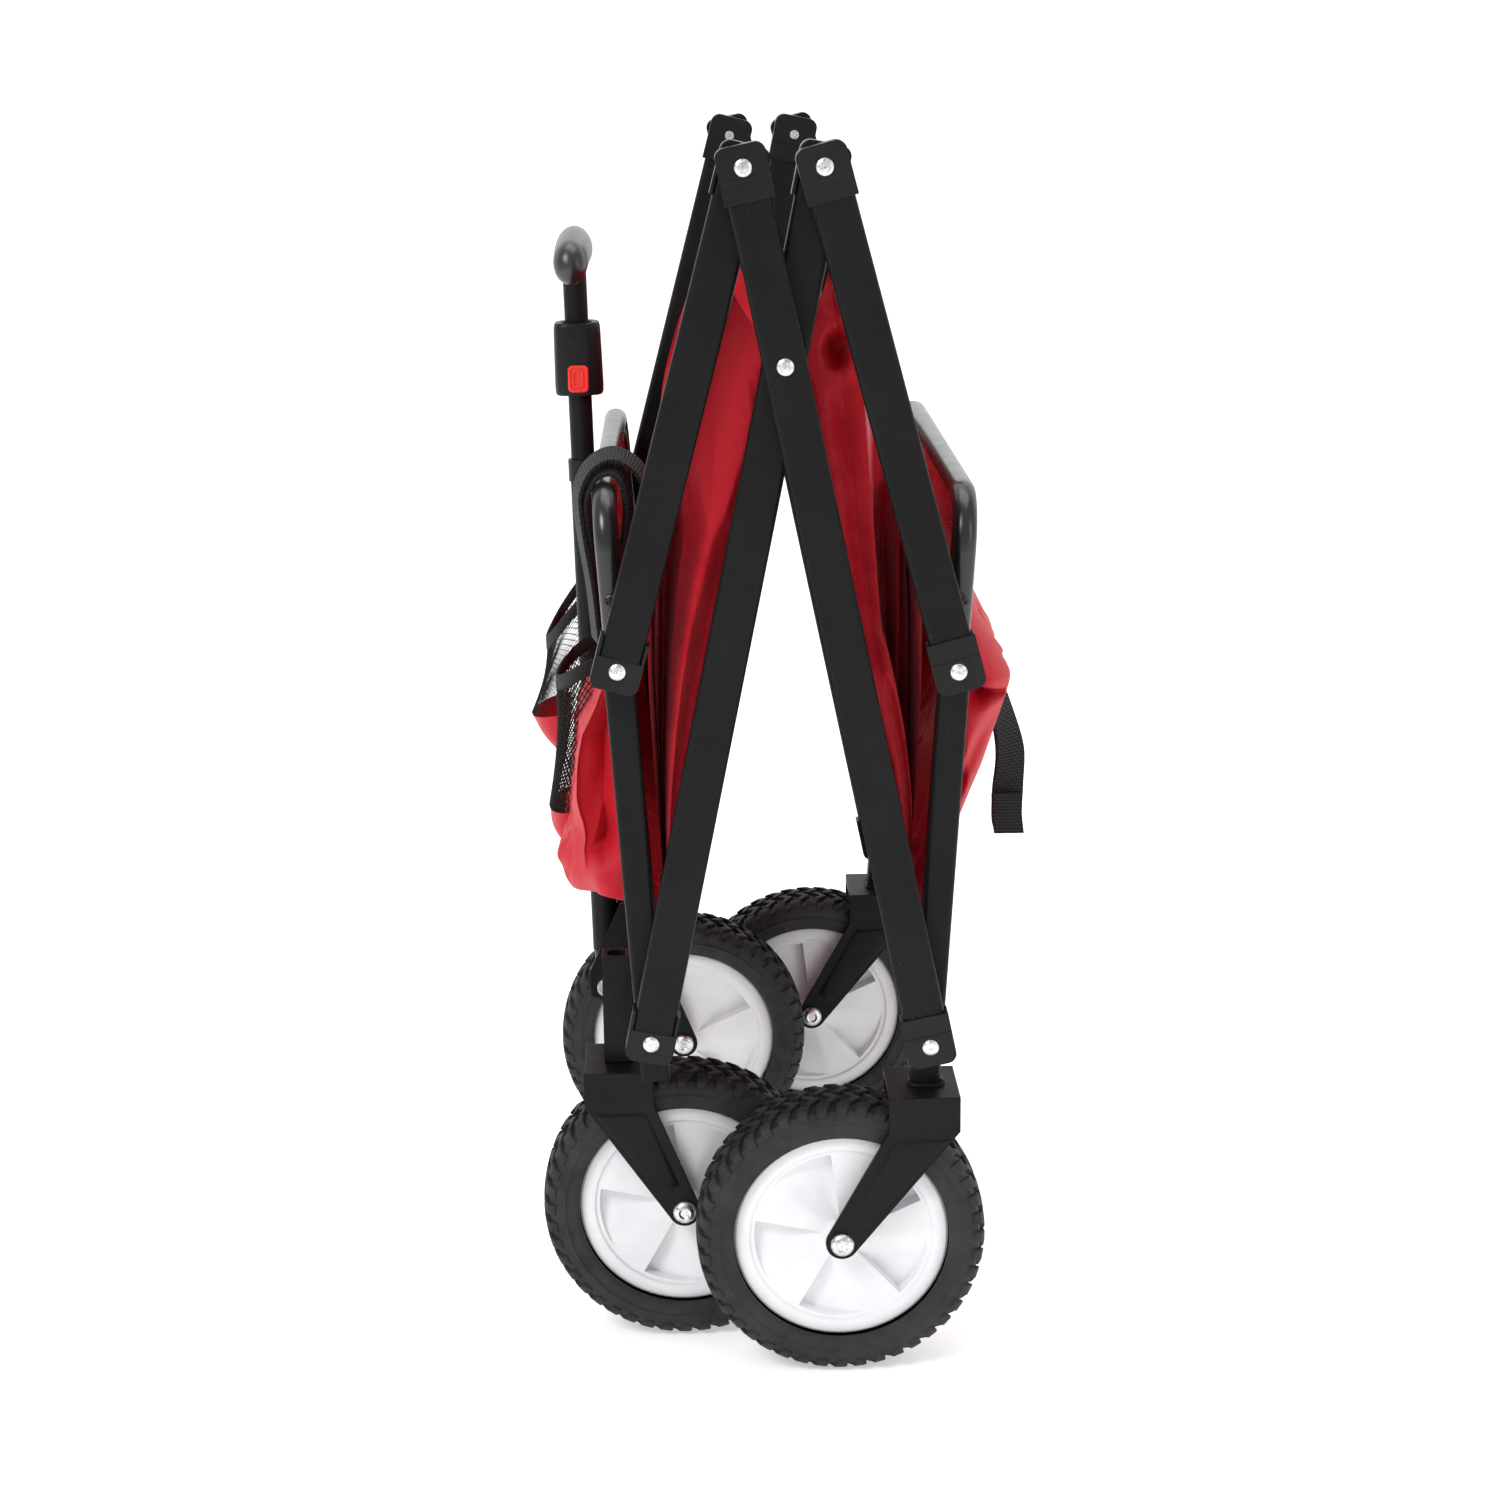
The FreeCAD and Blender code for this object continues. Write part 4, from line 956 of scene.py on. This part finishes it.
def build_cups():
    """Two net cup holders with elastic mouths and cloth feet, sewn on the front wall."""
    band_section = ((0.0, 0.0), (0.0006, 0.0008), (0.0096, 0.0009), (0.0102, 0.0), (0.0096, -0.0009),
                    (0.0006, -0.0008))
    half_mouth, half_foot, half_tip = 0.040, 0.032, 0.022
    # Side and middle in Y, then (x, z) of the mouth and of the net's foot, each at the wall and at the front,
    # and of the cloth foot's tip.
    cups = (("left", -0.066, (-0.113, 0.4215), (-0.1405, 0.403), (-0.131, 0.329), (-0.1475, 0.326),
             (-0.137, 0.303)),
            ("right", 0.078, (-0.121, 0.4340), (-0.1535, 0.395), (-0.139, 0.356), (-0.1655, 0.350),
             (-0.143, 0.322)))
    for side_name, middle, mouth_in, mouth_out, foot_in, foot_out, tip_at in cups:
        def arc(turn, inner, outer, half):
            share = math.sin(turn) ** 0.8
            x = inner[0] + (outer[0] - inner[0]) * share
            return x, middle - half * math.cos(turn), inner[1] + (outer[1] - inner[1]) * share ** 1.4

        points, uv = [], []
        steps = 40
        for i in range(steps + 1):
            turn = math.pi * i / steps
            x, y, z = arc(turn, mouth_in, mouth_out, half_mouth)
            for lift, fat in band_section:
                points.append((x - fat * math.sin(turn), y + fat * math.cos(turn), z + lift))
                uv.append((lift, i / steps * 0.12))
        band = piece(f"cup_band_{side_name}", points, grid_faces(steps + 1, 6, closed_columns=True), "elastic",
                     "front_frame", uv)

        def net(turn, v):
            high = arc(turn, mouth_in, mouth_out, half_mouth)
            low = arc(turn, foot_in, foot_out, half_foot)
            slack = -0.002 * math.sin(math.pi * v) * math.sin(turn)
            t = v ** 1.1
            return (high[0] + (low[0] - high[0]) * t - slack, high[1] + (low[1] - high[1]) * t,
                    high[2] + 0.0005 + (low[2] - high[2]) * v)

        across, down = 24, 17
        points, faces = [], []
        index = {}
        for i in range(2 * across + 1):
            for j in range(2 * down + 1):
                if (i + j) % 2 == 0:
                    index[i, j] = len(points)
                    points.append(net(math.pi * i / (2 * across), j / (2 * down)))
        for i in range(2 * across + 1):
            for j in range(2 * down + 1):
                cell = [(i, j - 1), (i + 1, j), (i, j + 1), (i - 1, j)]
                if (i + j) % 2 and all(c in index for c in cell):
                    faces.append([index[c] for c in cell])
        net_piece = piece(f"cup_net_{side_name}", points, faces, "net", "front_frame")
        wire = net_piece.modifiers.new("strands", "WIREFRAME")
        wire.thickness = 0.0010 if side_name == "left" else 0.0006
        wire.use_even_offset = False

        def foot(u, v):
            turn = math.pi * u
            x, y, z = net(turn, 1.0)
            tip = (tip_at[0], middle - half_tip * math.cos(turn), tip_at[1])
            t = v ** 0.8
            puff = 0.004 * math.sin(math.pi * v) * math.sin(turn)
            return (x + (tip[0] - x) * t - puff, y + (tip[1] - y) * t, z + (tip[2] - z) * t)

        cloth(f"cup_foot_{side_name}", 30, 16, foot, (0.072, 0.028),
              body="front_frame")
    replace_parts(bpy.data.objects["cup_band_left"], "cup_holders")


def board_cover(end, end_name):
    """The stiffened floor: cloth drawn tight over a board, with soft rounded edges."""
    up = Vector((-end * math.sin(BOARD_TILT), 0, math.cos(BOARD_TILT)))
    out = Vector((end * math.cos(BOARD_TILT), 0, math.sin(BOARD_TILT)))
    start = Vector((end * HINGE_X, 0, HINGE_Z))
    half_width, half_thick = 0.170, 0.0042
    edge_width, edge_start, edge_length = 0.342, 0.304, 0.0665
    points, uv = [], []
    rows, columns = 44, 72
    for i in range(rows):
        t = i / (rows - 1)
        along = -0.002 + 0.316 * t
        ends = min(1.0, (t * 14) ** 0.5, ((1 - t) * 14) ** 0.5)
        for j in range(columns):
            turn = 2 * math.pi * j / columns
            c, s = math.cos(turn), math.sin(turn)
            y = half_width * math.copysign(abs(c) ** 0.14, c)
            thick = half_thick * math.copysign(abs(s) ** 0.30, s) * (0.25 + 0.75 * ends)
            thick += 0.0006 * wrinkle(along, y, end, 22, 1.5) * (1 if s > 0 else -1)
            points.append(start + up * along + out * thick + Vector((0, y, 0)))
            uv.append((y, along))
    made = piece(f"{end_name}_floor_cover", points, capped_faces(rows, columns), "red_cloth",
                 f"{end_name}_board", uv)
    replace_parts(made, f"{end_name}_floor_board")

    def loose_edge(u, v):
        """The cloth floor past the board, up to the middle of the open wagon."""
        y = edge_width * (u - 0.5)
        along = edge_start + edge_length * v
        where = start + up * along + out * (0.0022 * wrinkle(along, y, end, 30, 3.3) * math.sin(math.pi * v))
        return (where.x, y, where.z)

    cloth(f"{end_name}_floor_edge", 40, 12, loose_edge, (edge_width, edge_length),
          body=f"{end_name}_board")


def build_cloth():
    """Everything soft: side walls, end walls, floor, tapes and cup holders."""
    for end_name, end in ENDS:
        for side_name, way in SIDES:
            side_fan(end, way, end_name, side_name)
        wall = end_bag(end, end_name)
        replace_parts(wall, f"{end_name}_tub")
        board_cover(end, end_name)
    build_tapes()
    build_cups()


# ---------------------------------------------------------------- put it together

set_camera()
set_light()

backdrop()

build_wheels()
build_forks()
build_button()
build_collar()
build_grip()
build_screws()
build_cloth()

dress("rail", "front_rail", "rear_rail")
dress("screw", "front_rail_screws", "rear_rail_screws")
dress("zinc", *[n for n in NODES if "rivets" in n], "handle_bolt", "axle_front_left", "axle_front_right",
      "rear_axles")
dress("black_plastic", *[n for n in NODES if n.endswith("_caps")], "handle_bush", "handle_eye")
dress("black_frame", *[n for n in NODES if "_post_" in n or "_crossbar" in n or n.startswith("fork_")],
      *[n for n in NODES if "_arm_left" in n or "_arm_right" in n], "front_stems", "handle_bracket",
      "handle_lower_tube", "handle_upper_tube")
